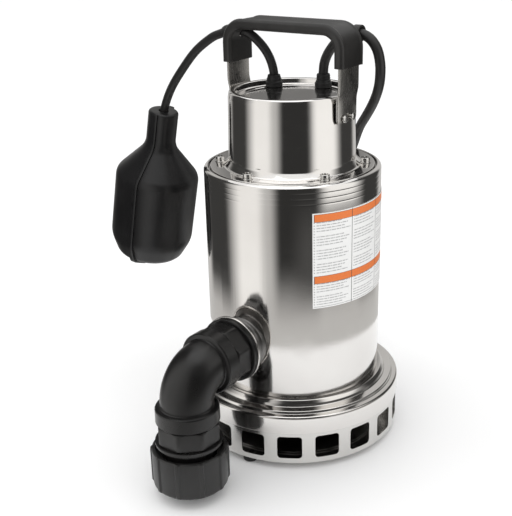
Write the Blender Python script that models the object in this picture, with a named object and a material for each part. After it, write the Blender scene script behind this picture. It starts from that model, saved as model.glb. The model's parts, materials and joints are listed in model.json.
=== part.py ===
"""Submersible sump pump with a side discharge elbow and a tethered float switch.

Metres, +Z up.  The origin is on the floor, at the middle of the box round the pump, elbow and float.
The pump's own vertical axis stands at PUMP_AXIS.  +X runs along the carrying handle, away from the
float, and the discharge leaves along -Y.
"""

import math

import bmesh
import bpy
from mathutils import Matrix, Vector

# ---------------------------------------------------------------- driving dimensions
PUMP_AXIS = (0.0638, 0.0469)
GAP = 0.0003
SHEET = 0.0012

LARGE_STEPS = 32
SHELL_STEPS = 32
MEDIUM_STEPS = 20
SMALL_STEPS = 12
ELBOW_STEPS = 24

# feet and strainer base
FOOT_HEIGHT = 0.006
FOOT_RADIUS = 0.007
FOOT_CIRCLE = 0.093
FOOT_ANGLES = (-82, 38, 158)
STRAINER_RADIUS = 0.1016
STRAINER_TOP = 0.0379
BASE_RADIUS = 0.1026
WINDOW_COUNT = 18
WINDOW_PHASE = 2.4
WINDOW_WIDTH = 0.0232
WINDOW_BOTTOM = 0.012
WINDOW_TOP = 0.0346
WINDOW_CORNER = 0.003

# outer shell, motor can and top cover
SHELL_RADIUS = 0.0825
SHELL_BOTTOM = 0.0648
SHELL_TOP = 0.268
CAN_RADIUS = 0.0594
COVER_RADIUS = 0.0587
COVER_FLANGE = 0.077
COVER_TOP = 0.3367
DISH_FLOOR = 0.3315
SCREW_CIRCLE = 0.0677
SCREW_HEAD = (0.00425, 0.005)
SCREW_SHANK = 0.0023

# shaft and motor
SHAFT_RADIUS = 0.006
ROTOR_RADIUS = 0.0318
STATOR_BORE = 0.0324
STATOR_RADIUS = 0.0578
BEARING_RADIUS = 0.0161
IMPELLER_RADIUS = 0.052
NUT_ACROSS = 0.0098
NUT_BORE = 0.0076
VANE_COUNT = 6

# discharge elbow: port height, leg distance, radii and lengths
PORT_Z = 0.115
LEG_Y = -0.162
ELBOW_START = -0.0997
ELBOW_TUBE = 0.0238
ELBOW_BORE = 0.0195
ELBOW_BEND = 0.025
ELBOW_FLANGE = 0.030
ELBOW_COLLAR = 0.0286
FLANGE_LENGTH = 0.003
OCTAGON_LENGTH = 0.018
COLLAR_LENGTH = 0.015
LEG_BOTTOM = 0.0514
NUT_BOTTOM = 0.0105
NUT_TOP = 0.047
NUT_RADIUS = 0.0337
NUT_RIB = 0.0014
NUT_RIBS = 10

# handle: a steel strap in the XZ plane with a moulded grip
STRAP_X = 0.0606
STRAP_BOTTOM = 0.3125
STRAP_TOP = 0.3926
STRAP_WIDTH = 0.0315
STRAP_SHEET = 0.002
STRAP_CORNER = 0.017
GRIP_SIZE = (0.0355, 0.0098)
GRIP_CHANNEL = (0.0323, 0.0028)
GRIP_LEFT_BOTTOM = 0.358
GRIP_RIGHT_BOTTOM = 0.361
RIVET_OFFSET = 0.0062
RIVET_Z = 0.3165
RIVET_HOLE = 0.0021
CLIP_CENTRE = (0.0236, 0.3858)
CLIP_OUTER = 0.0074
CLIP_BORE = 0.0056

# cords
FLOAT_CABLE_RADIUS = 0.0042
POWER_CORD_RADIUS = 0.0045
FLOAT_GLAND = (-0.0355, 0.0220)
POWER_GLAND = (0.0075, 0.0410)
GLAND_HOLE = 0.0063
COIL_CENTRE = (-0.1008, 0.1414)
COIL_MEAN_RADIUS = 0.0515
COIL_HALF_WIDTH = 0.0135
COIL_HEIGHT = 0.0181
TIE_ANGLE = -15.0
TIE_SHEET = 0.0012
TIE_WIDTH = 0.010
PLUG_WIDTH = 0.028
PLUG_HEIGHT = 0.024
PLUG_TAIL = (0.0225, -0.0125)
PLUG_TAIL_LENGTH = 0.034
PLUG_HEADING = 341.0

# float switch
FLOAT_HINGE = (-0.0806, 0.0, 0.3802)
FLOAT_TOP = (-0.1596, 0.0, 0.299)
FLOAT_TILT = 11.85
FLOAT_SEAM_ANGLE = -78.0
FLOAT_NECK = 0.0153
FLOAT_RADIUS = 0.0445
FLOAT_LENGTH = 0.172
FLOAT_WALL = 0.0025
SEAM_RIDGE = 0.0026
SEAM_HALF = 0.0034
CAPSULE_RADIUS = 0.012
BALL_RADIUS = 0.008

# label on the outer shell
LABEL_ANGLES = (-42.8, 35.5)
LABEL_HEIGHTS = (0.1545, 0.2435)


# ---------------------------------------------------------------- scene helpers
def clear_scene():
    for item in list(bpy.data.objects):
        bpy.data.objects.remove(item, do_unlink=True)


def empty(name, location, parent=None, rotation=(0, 0, 0)):
    item = bpy.data.objects.new(name, None)
    bpy.context.scene.collection.objects.link(item)
    item.location = location
    item.rotation_euler = [math.radians(angle) for angle in rotation]
    item.parent = parent
    return item


def material(name, colour, roughness, metallic=0.0):
    made = bpy.data.materials.new(name)
    made.use_nodes = True
    shader = made.node_tree.nodes["Principled BSDF"]
    shader.inputs["Base Color"].default_value = (*colour, 1.0)
    shader.inputs["Roughness"].default_value = roughness
    shader.inputs["Metallic"].default_value = metallic
    return made


def add_object(name, bm, finish, parent, location=(0, 0, 0), rotation=(0, 0, 0)):
    """One named object from a bmesh, with outward normals and smooth round faces."""
    bmesh.ops.recalc_face_normals(bm, faces=bm.faces)
    mesh = bpy.data.meshes.new(name)
    bm.to_mesh(mesh)
    bm.free()
    mesh.shade_smooth()
    mesh.set_sharp_from_angle(angle=math.radians(35))
    item = bpy.data.objects.new(name, mesh)
    bpy.context.scene.collection.objects.link(item)
    item.location = location
    item.rotation_euler = [math.radians(angle) for angle in rotation]
    item.parent = parent
    if finish:
        mesh.materials.append(finish)
    return item


def as_helper(item):
    item.hide_render = True
    item.display_type = "WIRE"
    return item


def combine(target, other, operation, solver="EXACT"):
    modifier = target.modifiers.new(operation.lower(), "BOOLEAN")
    modifier.operation = operation
    modifier.solver = solver
    modifier.object = as_helper(other)


# ---------------------------------------------------------------- shape helpers
def bridge(bm, first, second):
    count = len(first)
    for index in range(count):
        after = (index + 1) % count
        bm.faces.new((first[index], first[after], second[after], second[index]))


def lofted(bm, outer, inner=None):
    """A closed solid through rings of points; with inner rings it is a pipe, else its ends are capped."""
    outside = [[bm.verts.new(point) for point in ring] for ring in outer]
    for first, second in zip(outside, outside[1:]):
        bridge(bm, first, second)
    if inner is None:
        bm.faces.new(outside[0])
        bm.faces.new(outside[-1])
        return
    inside = [[bm.verts.new(point) for point in ring] for ring in inner]
    for first, second in zip(inside, inside[1:]):
        bridge(bm, first, second)
    bridge(bm, outside[0], inside[0])
    bridge(bm, outside[-1], inside[-1])


def lathe(bm, profile, steps=LARGE_STEPS, start=0.0, turn=360.0):
    """Turns a closed (radius, height) profile about Z; points on the axis become single vertices."""
    whole = turn >= 360.0
    count = steps if whole else steps + 1
    rings = []
    for radius, height in profile:
        if radius == 0:
            rings.append([bm.verts.new((0, 0, height))] * count)
            continue
        angles = [math.radians(start + turn * step / steps) for step in range(count)]
        rings.append([bm.verts.new((radius * math.cos(a), radius * math.sin(a), height)) for a in angles])
    for index, ring in enumerate(rings):
        other = rings[(index + 1) % len(rings)]
        for step in range(steps):
            after = (step + 1) % count
            corners = list(dict.fromkeys((ring[step], ring[after], other[after], other[step])))
            if len(corners) > 2:
                bm.faces.new(corners)
    if not whole:
        bm.faces.new([ring[0] for ring in rings])
        bm.faces.new([ring[-1] for ring in rings])


def turned(name, profile, finish, parent, steps=LARGE_STEPS, **place):
    bm = bmesh.new()
    lathe(bm, profile, steps)
    return add_object(name, bm, finish, parent, **place)


def ring_profile(inner, outer, bottom, top):
    return [(inner, bottom), (outer, bottom), (outer, top), (inner, top)]


def box(bm, low, high):
    corners = ((low[0], low[1]), (high[0], low[1]), (high[0], high[1]), (low[0], high[1]))
    lofted(bm, [[(x, y, z) for x, y in corners] for z in (low[2], high[2])])


def rounded_rectangle(width, height, corner, steps=3):
    """Counter-clockwise outline round the origin, with arcs of the given number of steps at its corners."""
    points = []
    centres = ((1, 1, 0), (-1, 1, 90), (-1, -1, 180), (1, -1, 270))
    for sign_x, sign_y, start in centres:
        for step in range(steps + 1):
            angle = math.radians(start + 90 * step / steps)
            x = sign_x * (width / 2 - corner) + corner * math.cos(angle)
            y = sign_y * (height / 2 - corner) + corner * math.sin(angle)
            points.append((x, y))
    return points


def polar(radius, degrees):
    return radius * math.cos(math.radians(degrees)), radius * math.sin(math.radians(degrees))


def smooth_route(points, spacing):
    """Points a given distance apart along a Catmull-Rom curve through the route's own points."""
    knots = [Vector(point) for point in points]
    knots = [2 * knots[0] - knots[1]] + knots + [2 * knots[-1] - knots[-2]]
    fine = []
    for before, first, second, after in zip(knots, knots[1:], knots[2:], knots[3:]):
        for step in range(12):
            t = step / 12
            slope = (second - before) * t
            bend = (2 * before - 5 * first + 4 * second - after) * t * t
            twist = (3 * first - before - 3 * second + after) * t * t * t
            fine.append(first + 0.5 * (slope + bend + twist))
    fine.append(knots[-2])
    lengths = [0.0]
    for first, second in zip(fine, fine[1:]):
        lengths.append(lengths[-1] + (second - first).length)
    count = max(2, round(lengths[-1] / spacing))
    route = []
    place = 0
    for step in range(count + 1):
        wanted = lengths[-1] * step / count
        while place < len(fine) - 2 and lengths[place + 1] < wanted:
            place += 1
        share = (wanted - lengths[place]) / (lengths[place + 1] - lengths[place])
        route.append(fine[place].lerp(fine[place + 1], min(1.0, share)))
    return route


def cord(name, points, radius, finish, parent, spacing, round_start=False):
    """A tube along a route; a round start adds half a ball behind the route's first point."""
    curve = bpy.data.curves.new(name, "CURVE")
    curve.dimensions = "3D"
    curve.bevel_depth = radius
    curve.bevel_resolution = 2
    curve.use_fill_caps = True
    stations = [(place, 1.0) for place in smooth_route(points, spacing)]
    if round_start:
        back = (stations[0][0] - stations[1][0]).normalized() * radius
        angles = [math.radians(degrees) for degrees in (85, 60, 30)]
        stations = [(stations[0][0] + back * math.sin(a), math.cos(a)) for a in angles] + stations
    spline = curve.splines.new("POLY")
    spline.points.add(len(stations) - 1)
    for point, (place, share) in zip(spline.points, stations):
        point.co = (*place, 1.0)
        point.radius = share
    curve.materials.append(finish)
    item = bpy.data.objects.new(name, curve)
    bpy.context.scene.collection.objects.link(item)
    item.parent = parent
    return item


# ---------------------------------------------------------------- base and pump end
def strainer_ring(finish, parent):
    radius = STRAINER_RADIUS
    profile = [
        (0.082, 0.006), (radius - 0.0015, 0.006), (radius, 0.0075), (radius, STRAINER_TOP),
        (radius - 0.0010, STRAINER_TOP), (radius - 0.0010, 0.046), (radius - 0.0024, 0.046),
        (radius - 0.0024, 0.0075), (0.082, 0.0075),
    ]
    item = turned("strainer_ring", profile, finish, parent, steps=4 * WINDOW_COUNT)
    outline = rounded_rectangle(WINDOW_WIDTH, WINDOW_TOP - WINDOW_BOTTOM, WINDOW_CORNER, 1)
    middle = (WINDOW_TOP + WINDOW_BOTTOM) / 2
    bm = bmesh.new()
    for index in range(WINDOW_COUNT):
        turn = Matrix.Rotation(math.radians(WINDOW_PHASE + 360 * index / WINDOW_COUNT), 3, "Z")
        rings = []
        for depth in (0.095, 0.108):
            rings.append([turn @ Vector((depth, across, middle + up)) for across, up in outline])
        lofted(bm, rings)
    combine(item, add_object("window_cutter", bm, None, parent), "DIFFERENCE")
    bm = bmesh.new()
    for angle in FOOT_ANGLES:
        x, y = polar(FOOT_CIRCLE, angle)
        hole = [(x + 0.0034 * math.cos(a), y + 0.0034 * math.sin(a)) for a in steps_round(8)]
        lofted(bm, [[(px, py, z) for px, py in hole] for z in (0.004, 0.010)])
    combine(item, add_object("foot_hole_cutter", bm, None, parent), "DIFFERENCE")


def steps_round(count):
    return [2 * math.pi * step / count for step in range(count)]


def feet(finish, parent):
    profile = [
        (0, 0), (FOOT_RADIUS - 0.001, 0), (FOOT_RADIUS, 0.001), (FOOT_RADIUS - 0.0006, FOOT_HEIGHT - GAP),
        (0.003, FOOT_HEIGHT - GAP), (0.003, 0.0078), (0.0045, 0.0078), (0, 0.0095),
    ]
    for number, angle in enumerate(FOOT_ANGLES, 1):
        x, y = polar(FOOT_CIRCLE, angle)
        turned(f"foot_{number}", profile, finish, parent, SMALL_STEPS, location=(x, y, 0))


def base_cover(finish, parent):
    radius = BASE_RADIUS
    profile = [
        (radius, 0.0382), (radius, 0.0538), (radius - 0.0020, 0.0556), (0.0970, 0.0562), (0.0960, 0.0586),
        (0.0896, 0.0594), (0.0884, 0.0618), (0.0860, 0.0645), (0.0800, 0.0645), (0.0800, 0.0630),
        (0.0852, 0.0630), (0.0874, 0.0582), (0.0950, 0.0572), (0.0960, 0.0548), (radius - 0.0014, 0.0540),
        (radius - 0.0014, 0.0382),
    ]
    turned("base_cover", profile, finish, parent, SHELL_STEPS)


def pump_housing(finish, parent):
    profile = [
        (0.020, 0.014), (0.072, 0.014), (0.076, 0.018), (0.076, 0.0585), (0.0795, 0.0585), (0.0795, 0.0605),
        (0.024, 0.0605), (0.024, 0.0585), (0.074, 0.0585), (0.074, 0.019), (0.071, 0.016), (0.020, 0.016),
    ]
    item = turned("pump_housing", profile, finish, parent)
    bm = bmesh.new()
    for index in range(6):
        rings = []
        for height in (0.056, 0.063):
            inside = [(*polar(0.0615, 60 * index + angle), height) for angle in (-20, -7, 7, 20)]
            outside = [(*polar(0.0725, 60 * index + angle), height) for angle in (20, 7, -7, -20)]
            rings.append(inside + outside)
        lofted(bm, rings)
    combine(item, add_object("water_way_cutter", bm, None, parent), "DIFFERENCE")


def impeller(finish, parent):
    profile = [
        (0.0063, 0.0200), (0.0120, 0.0200), (0.0135, 0.0300), (IMPELLER_RADIUS, 0.0310),
        (IMPELLER_RADIUS, 0.0335), (0.0120, 0.0345), (0.0120, 0.0357), (0.0063, 0.0357),
    ]
    item = turned("impeller", profile, finish, parent)
    bm = bmesh.new()
    for index in range(VANE_COUNT):
        left, right = [], []
        for step in range(5):
            share = step / 4
            radius = 0.013 + share * (IMPELLER_RADIUS - 0.014)
            angle = 360 * index / VANE_COUNT - 70 * share
            left.append(polar(radius, angle))
            right.append(polar(radius, angle + math.degrees(0.0022 / radius)))
        outline = left + right[::-1]
        lofted(bm, [[(x, y, z) for x, y in outline] for z in (0.0215, 0.0322)])
    combine(item, add_object("vanes", bm, None, parent), "UNION")


# ---------------------------------------------------------------- shell, cover and motor
def screw_places():
    return [polar(SCREW_CIRCLE, 30 + 60 * index) for index in range(6)]


def drilled(item, places, radius, bottom, top, parent):
    bm = bmesh.new()
    for x, y in places:
        hole = [(x + radius * math.cos(a), y + radius * math.sin(a)) for a in steps_round(8)]
        lofted(bm, [[(px, py, z) for px, py in hole] for z in (bottom, top)])
    combine(item, add_object(item.name + "_drill", bm, None, parent), "DIFFERENCE", "MANIFOLD")


def outer_shell(finish, parent):
    radius = SHELL_RADIUS
    profile = [
        (radius, SHELL_BOTTOM), (radius, 0.2634), (radius - 0.0013, 0.2667), (radius - 0.0040, SHELL_TOP),
        (0.0773, SHELL_TOP), (0.0773, 0.2653), (0.0600, 0.2653), (0.0600, 0.2639), (0.0786, 0.2639),
        (radius - SHEET, 0.2620), (radius - SHEET, SHELL_BOTTOM),
    ]
    item = turned("outer_shell", profile, finish, parent, SHELL_STEPS)
    drilled(item, screw_places(), SCREW_SHANK + 0.0005, 0.260, 0.272, parent)
    bm = bmesh.new()
    hole = [(0.0253 * math.cos(a), 0.0253 * math.sin(a)) for a in steps_round(MEDIUM_STEPS)]
    lofted(bm, [[(x, y, PORT_Z + z) for x, z in hole] for y in (-0.095, -0.060)])
    combine(item, add_object("port_cutter", bm, None, parent), "DIFFERENCE", "MANIFOLD")


def top_cover(finish, parent):
    profile = [
        (COVER_FLANGE, 0.2665), (COVER_FLANGE, 0.2680), (0.0630, 0.2680), (0.0596, 0.2703),
        (COVER_RADIUS, 0.2750), (0.0577, 0.3310), (0.0564, 0.3352), (0.0538, COVER_TOP),
        (0.0512, 0.3352), (0.0504, DISH_FLOOR), (0, DISH_FLOOR), (0, 0.3303), (0.0516, 0.3303),
        (0.0522, 0.3343), (0.0538, 0.3353), (0.0554, 0.3343), (0.0565, 0.3310), (0.0574, 0.2750), (0.0574, 0.2665),
    ]
    item = turned("top_cover", profile, finish, parent, SHELL_STEPS)
    drilled(item, screw_places(), SCREW_SHANK + 0.0005, 0.264, 0.272, parent)
    bm = bmesh.new()
    for x, y in (FLOAT_GLAND, POWER_GLAND):
        hole = [polar(GLAND_HOLE, math.degrees(a)) for a in steps_round(SMALL_STEPS)]
        heights = (DISH_FLOOR - 0.0045, DISH_FLOOR + 0.0025)
        lofted(bm, [[(x + along, y + across, z) for along, across in hole] for z in heights])
    combine(item, add_object("gland_cutter", bm, None, parent), "DIFFERENCE")
    combine(item, rivet_cutter(parent), "DIFFERENCE")


def rivet_cutter(parent):
    """Cutter for the four rivets' holes, through the cover wall and the strap."""
    bm = bmesh.new()
    for x, y, _ in rivet_places():
        reach = (Vector((x, y)) * 1.1, Vector((x, y)) * 0.85)
        side = Vector((-y, x)).normalized()
        rings = []
        for end in reach:
            across = [(RIVET_HOLE * math.cos(a), RIVET_HOLE * math.sin(a)) for a in steps_round(SMALL_STEPS)]
            rings.append([(*(end + side * along), RIVET_Z + up) for along, up in across])
        lofted(bm, rings)
    return add_object("rivet_cutter", bm, None, parent)


def rivet_places():
    """The four rivets: x, y on the cover wall and the direction they face, in degrees."""
    places = []
    for facing in (0, 180):
        for side in (-1, 1):
            turn = facing + side * math.degrees(math.asin(RIVET_OFFSET / STRAP_X))
            places.append((*polar(STRAP_X, turn), turn))
    return places


def cover_screws(finish, parent):
    radius, height = SCREW_HEAD
    seat = SHELL_TOP + GAP
    profile = [
        (0, 0.2560), (SCREW_SHANK, 0.2560), (SCREW_SHANK, seat), (radius, seat), (radius, seat + height),
        (0.0024, seat + height), (0.0024, seat + height - 0.0026), (0, seat + height - 0.0026),
    ]
    for number, (x, y) in enumerate(screw_places(), 1):
        turned(f"cover_screw_{number}", profile, finish, parent, SMALL_STEPS, location=(x, y, 0))


def motor(finishes, parent):
    steel, copper, laminated, rubber, ceramic = finishes
    turned("motor_can", ring_profile(CAN_RADIUS - SHEET, CAN_RADIUS, 0.0608, 0.2636), steel, parent)
    bracket = [
        (0.0105, 0.0625), (0.0578, 0.0625), (0.0578, 0.0800), (0.0545, 0.0800), (0.0545, 0.0665), (0.0200, 0.0665),
        (0.0200, 0.0780), (0.0164, 0.0780), (0.0164, 0.0665), (0.0105, 0.0665),
    ]
    turned("lower_bearing_bracket", bracket, laminated, parent, MEDIUM_STEPS)
    upper = [(radius, 0.2940 - height) for radius, height in bracket[::-1]]
    turned("upper_bearing_bracket", [(r, z + 0.0150) for r, z in upper], laminated, parent, MEDIUM_STEPS)
    bearing = ring_profile(SHAFT_RADIUS + GAP, BEARING_RADIUS, 0, 0.010)
    turned("lower_bearing", bearing, steel, parent, MEDIUM_STEPS, location=(0, 0, 0.0668))
    turned("upper_bearing", bearing, steel, parent, MEDIUM_STEPS, location=(0, 0, 0.2322))
    turned("stator_core", ring_profile(STATOR_BORE, STATOR_RADIUS, 0.120, 0.200), laminated, parent)
    turned("winding_lower", winding_profile(0.0920, 0.1197), copper, parent)
    turned("winding_upper", winding_profile(0.2003, 0.2220), copper, parent)
    turned("seal_seat", ring_profile(0.0070, 0.0200, 0.0540, 0.0620), ceramic, parent, MEDIUM_STEPS)
    turned("cover_gasket", ring_profile(0.0605, 0.0768, 0.2656, 0.2662), rubber, parent)
    drilled(bpy.data.objects["cover_gasket"], screw_places(), SCREW_SHANK + 0.0005, 0.264, 0.268, parent)


def winding_profile(bottom, top):
    inner, outer, round_off = 0.0360, 0.0545, 0.004
    return [
        (inner, bottom), (outer - round_off, bottom), (outer, bottom + round_off),
        (outer, top - round_off), (outer - round_off, top), (inner, top),
    ]


def electrical_parts(case, cap, parent):
    capacitor = [(0, 0.262), (0.0165, 0.262), (0.0175, 0.263), (0.0175, 0.318), (0.0165, 0.319), (0, 0.319)]
    turned("run_capacitor", capacitor, case, parent, MEDIUM_STEPS, location=(-0.010, -0.022, 0))
    bm = bmesh.new()
    box(bm, (0.030, -0.009, 0.2223), (0.046, 0.009, 0.2275))
    add_object("thermal_switch", bm, cap, parent)


def rotor(finishes, parent):
    steel, laminated, ceramic, plastic = finishes
    shaft = [
        (0, 0.0120), (SHAFT_RADIUS - 0.001, 0.0120), (SHAFT_RADIUS, 0.0130), (SHAFT_RADIUS, 0.2440),
        (SHAFT_RADIUS - 0.001, 0.2450), (0, 0.2450),
    ]
    turned("rotor_shaft", shaft, steel, parent, MEDIUM_STEPS)
    inner = SHAFT_RADIUS + GAP
    turned("rotor_core", ring_profile(inner, ROTOR_RADIUS, 0.122, 0.198), laminated, parent)
    seal = [(inner, 0.0360), (0.0110, 0.0360), (0.0140, 0.0480), (0.0140, 0.0537), (inner, 0.0537)]
    turned("seal_head", seal, ceramic, parent, MEDIUM_STEPS)
    impeller(plastic, parent)
    bm = bmesh.new()
    outside, bore = [], []
    for height in (0.0135, 0.0197):
        outside.append([(*polar(NUT_ACROSS, 60 * index), height) for index in range(6)])
        bore.append([(*polar(NUT_BORE, 60 * index), height) for index in range(6)])
    lofted(bm, outside, bore)
    add_object("impeller_nut", bm, steel, parent)


# ---------------------------------------------------------------- discharge
def discharge_port(finish, rubber, parent):
    """The spigot is turned about its own axis and laid along -Y: heights run outwards from the pump axis."""
    place = {"location": (0, 0, PORT_Z), "rotation": (90, 0, 0)}
    profile = [
        (0.0205, 0.0760), (0.0250, 0.0760), (0.0250, 0.0860), (0.0268, 0.0915), (0.0300, 0.0932),
        (0.0312, 0.0942), (0.0312, 0.0968), (0.0304, 0.0976), (0.0205, 0.0976),
    ]
    turned("discharge_port", profile, finish, parent, MEDIUM_STEPS, **place)
    turned("port_gasket", ring_profile(0.0205, 0.0300, 0.0979, 0.0994), rubber, parent, MEDIUM_STEPS, **place)


def section_radius(radius, angle, sides):
    """Radius of a regular polygon with rounded-off corner radius, or of a circle when sides is 0."""
    if not sides:
        return radius
    part = 2 * math.pi / sides
    off = (angle + part / 2) % part - part / 2
    return min(radius * 0.945 / math.cos(off), radius)


def elbow_stations():
    """(distance along the elbow, outer radius, polygon sides) from its port flange to its leg flange."""
    first = FLANGE_LENGTH
    second = first + OCTAGON_LENGTH
    third = second + COLLAR_LENGTH
    return [
        (0.0, ELBOW_FLANGE, 0), (first, ELBOW_FLANGE, 0), (first, ELBOW_COLLAR, 8), (second, ELBOW_COLLAR, 8),
        (second, ELBOW_COLLAR, 0), (third - 0.0015, ELBOW_COLLAR - 0.0003, 0), (third, ELBOW_TUBE, 0),
    ]


def elbow_frames():
    """Point and in-plane normal along the elbow's centre line, from the hinge point, in its local YZ plane."""
    straight = ELBOW_START - LEG_Y - ELBOW_BEND
    drop = PORT_Z - ELBOW_BEND - LEG_BOTTOM
    arc = ELBOW_BEND * math.pi / 2

    def at(distance):
        if distance <= straight:
            return Vector((0, -distance, 0)), Vector((0, 0, 1))
        if distance <= straight + arc:
            angle = (distance - straight) / ELBOW_BEND
            centre = Vector((0, -straight, -ELBOW_BEND))
            normal = Vector((0, -math.sin(angle), math.cos(angle)))
            return centre + normal * ELBOW_BEND, normal
        down = distance - straight - arc
        return Vector((0, -straight - ELBOW_BEND, -ELBOW_BEND - down)), Vector((0, -1, 0))

    return at, straight + arc + drop


def elbow(finish, parent):
    at, length = elbow_frames()
    half = elbow_stations()
    arc_start = ELBOW_START - LEG_Y - ELBOW_BEND
    arc_length = ELBOW_BEND * math.pi / 2
    bend = [(arc_start + arc_length * step / 6, ELBOW_TUBE, 0) for step in range(7)]
    stations = half + bend + [(length - distance, radius, sides) for distance, radius, sides in half[::-1]]
    outer, inner = [], []
    for distance, radius, sides in stations:
        point, normal = at(distance)
        ring, bore = [], []
        for angle in steps_round(ELBOW_STEPS):
            direction = Vector((math.cos(angle), 0, 0)) + normal * math.sin(angle)
            ring.append(point + direction * section_radius(radius, angle, sides))
            bore.append(point + direction * ELBOW_BORE)
        outer.append(ring)
        if not inner or (inner[-1][0] - bore[0]).length > 0.0025:
            inner.append(bore)
    bm = bmesh.new()
    lofted(bm, outer, inner)
    add_object("elbow", bm, finish, parent)


def outlet(finishes, elbow_parent, nut_parent):
    """Seal and tail piece inside the outlet, and the ribbed nut that turns round the tail piece."""
    plastic, rubber = finishes
    leg = {"location": (0, LEG_Y - ELBOW_START, -PORT_Z)}
    turned("outlet_seal", ring_profile(0.0200, 0.0272, 0.0488, 0.0511), rubber, elbow_parent, MEDIUM_STEPS, **leg)
    tail = [
        (0.0195, 0.0125), (0.0238, 0.0125), (0.0242, 0.0130), (0.0242, 0.0485), (0.0195, 0.0485),
    ]
    turned("outlet_tail", tail, plastic, elbow_parent, MEDIUM_STEPS, **leg)
    levels = [
        (NUT_BOTTOM, NUT_RADIUS - 0.0016), (NUT_BOTTOM + 0.002, NUT_RADIUS), (NUT_TOP, NUT_RADIUS),
    ]
    count = NUT_RIBS * 5
    outer, inner = [], []
    for level, radius in levels:
        ring, bore = [], []
        for step, angle in enumerate(steps_round(count)):
            proud = NUT_RIB if step % 5 in (0, 1) else 0.0
            reach = radius + proud
            ring.append((reach * math.cos(angle), reach * math.sin(angle), level))
            bore.append((0.0246 * math.cos(angle), 0.0246 * math.sin(angle), level))
        outer.append(ring)
        inner.append(bore)
    bm = bmesh.new()
    lofted(bm, outer, [inner[0], inner[-1]])
    add_object("union_nut", bm, plastic, nut_parent)


# ---------------------------------------------------------------- handle
def handle_path(left_bottom, right_bottom, half_span, top, corner, straight_steps=1):
    """Points and outward normals up the left leg, over the top and down the right leg, in the XZ plane."""
    path = []
    for step in range(straight_steps + 1):
        height = left_bottom + (top - corner - left_bottom) * step / straight_steps
        path.append((Vector((-half_span, 0, height)), Vector((-1, 0, 0))))
    for side in (-1, 1):
        for step in range(1, 6) if side < 0 else range(5):
            angle = math.pi / 2 * (step / 5 if side < 0 else 1 - step / 5)
            normal = Vector((side * math.cos(angle), 0, math.sin(angle)))
            centre = Vector((side * (half_span - corner), 0, top - corner))
            path.append((centre + normal * corner, normal))
    for step in range(straight_steps + 1):
        height = top - corner - (top - corner - right_bottom) * step / straight_steps
        path.append((Vector((half_span, 0, height)), Vector((1, 0, 0))))
    return path


def handle_strap(finish, parent):
    """The legs' lower ends curve round the cover wall and flatten out above it."""
    path = handle_path(STRAP_BOTTOM, STRAP_BOTTOM, STRAP_X, STRAP_TOP, STRAP_CORNER, 3)
    across = [STRAP_WIDTH * (index / 6 - 0.5) for index in range(7)]
    rings = []
    for point, normal in path:
        wrap = min(1.0, max(0.0, (0.342 - point.z) / 0.010))
        ring = []
        for face in (1, -1):
            for y in across[::face]:
                sagitta = STRAP_X - math.sqrt(STRAP_X**2 - y**2)
                place = point + normal * (face * STRAP_SHEET / 2 - wrap * sagitta)
                ring.append(place + Vector((0, y, 0)))
        rings.append(ring)
    bm = bmesh.new()
    lofted(bm, rings)
    item = add_object("handle_strap", bm, finish, parent)
    combine(item, bpy.data.objects["rivet_cutter"], "DIFFERENCE")
    combine(item, cable_hole("strap_cable_cutter", parent), "DIFFERENCE")


def cable_hole(name, parent):
    """Cutter for the float cable's way through the handle's left shoulder."""
    bm = bmesh.new()
    direction = Vector((-0.040, 0, -0.005)).normalized()
    side = Vector((0, 1, 0))
    up = direction.cross(side)
    middle = Vector((-0.058, 0, 0.3842))
    rings = []
    for reach in (-0.022, 0.022):
        centre = middle + direction * reach
        spokes = [side * math.cos(a) + up * math.sin(a) for a in steps_round(SMALL_STEPS)]
        rings.append([centre + CABLE_HOLE * spoke for spoke in spokes])
    lofted(bm, rings)
    return add_object(name, bm, None, parent)


def handle_grip(finish, parent):
    path = handle_path(GRIP_LEFT_BOTTOM, GRIP_RIGHT_BOTTOM, STRAP_X, STRAP_TOP, STRAP_CORNER)
    outline = rounded_rectangle(*GRIP_SIZE, 0.0035, 2)
    channel = rounded_rectangle(*GRIP_CHANNEL, 0.0003, 2)
    outer, inner = [], []
    for point, normal in path:
        outer.append([point + Vector((0, y, 0)) + normal * out for y, out in outline])
        inner.append([point + Vector((0, y, 0)) + normal * out for y, out in channel])
    bm = bmesh.new()
    lofted(bm, outer, inner)
    item = add_object("handle_grip", bm, finish, parent)
    combine(item, cable_hole("grip_cable_cutter", parent), "DIFFERENCE")
    bm = bmesh.new()
    rings, bores = [], []
    for x in (0.0520, 0.0590):
        for radius, made in ((CLIP_OUTER, rings), (CLIP_BORE, bores)):
            y, z = CLIP_CENTRE
            across = [(radius * math.cos(a), radius * math.sin(a)) for a in steps_round(SMALL_STEPS)]
            made.append([(x, y + along, z + up) for along, up in across])
    lofted(bm, rings, bores)
    combine(item, add_object("cord_clip", bm, None, parent), "UNION")


def handle_rivets(finish, parent):
    """Each rivet is turned about its own axis, which points away from the pump's axis."""
    head = STRAP_SHEET / 2 + GAP
    profile = [
        (0, -0.0052), (0.0030, -0.0052), (0.0030, -0.0042), (0.0018, -0.0042), (0.0018, head), (0.0034, head),
        (0.0024, head + 0.0014), (0, head + 0.0017),
    ]
    for number, (x, y, turn) in enumerate(rivet_places(), 1):
        place = {"location": (x, y, RIVET_Z), "rotation": (0, 90, turn)}
        turned(f"handle_rivet_{number}", profile, finish, parent, 8, **place)


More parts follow.
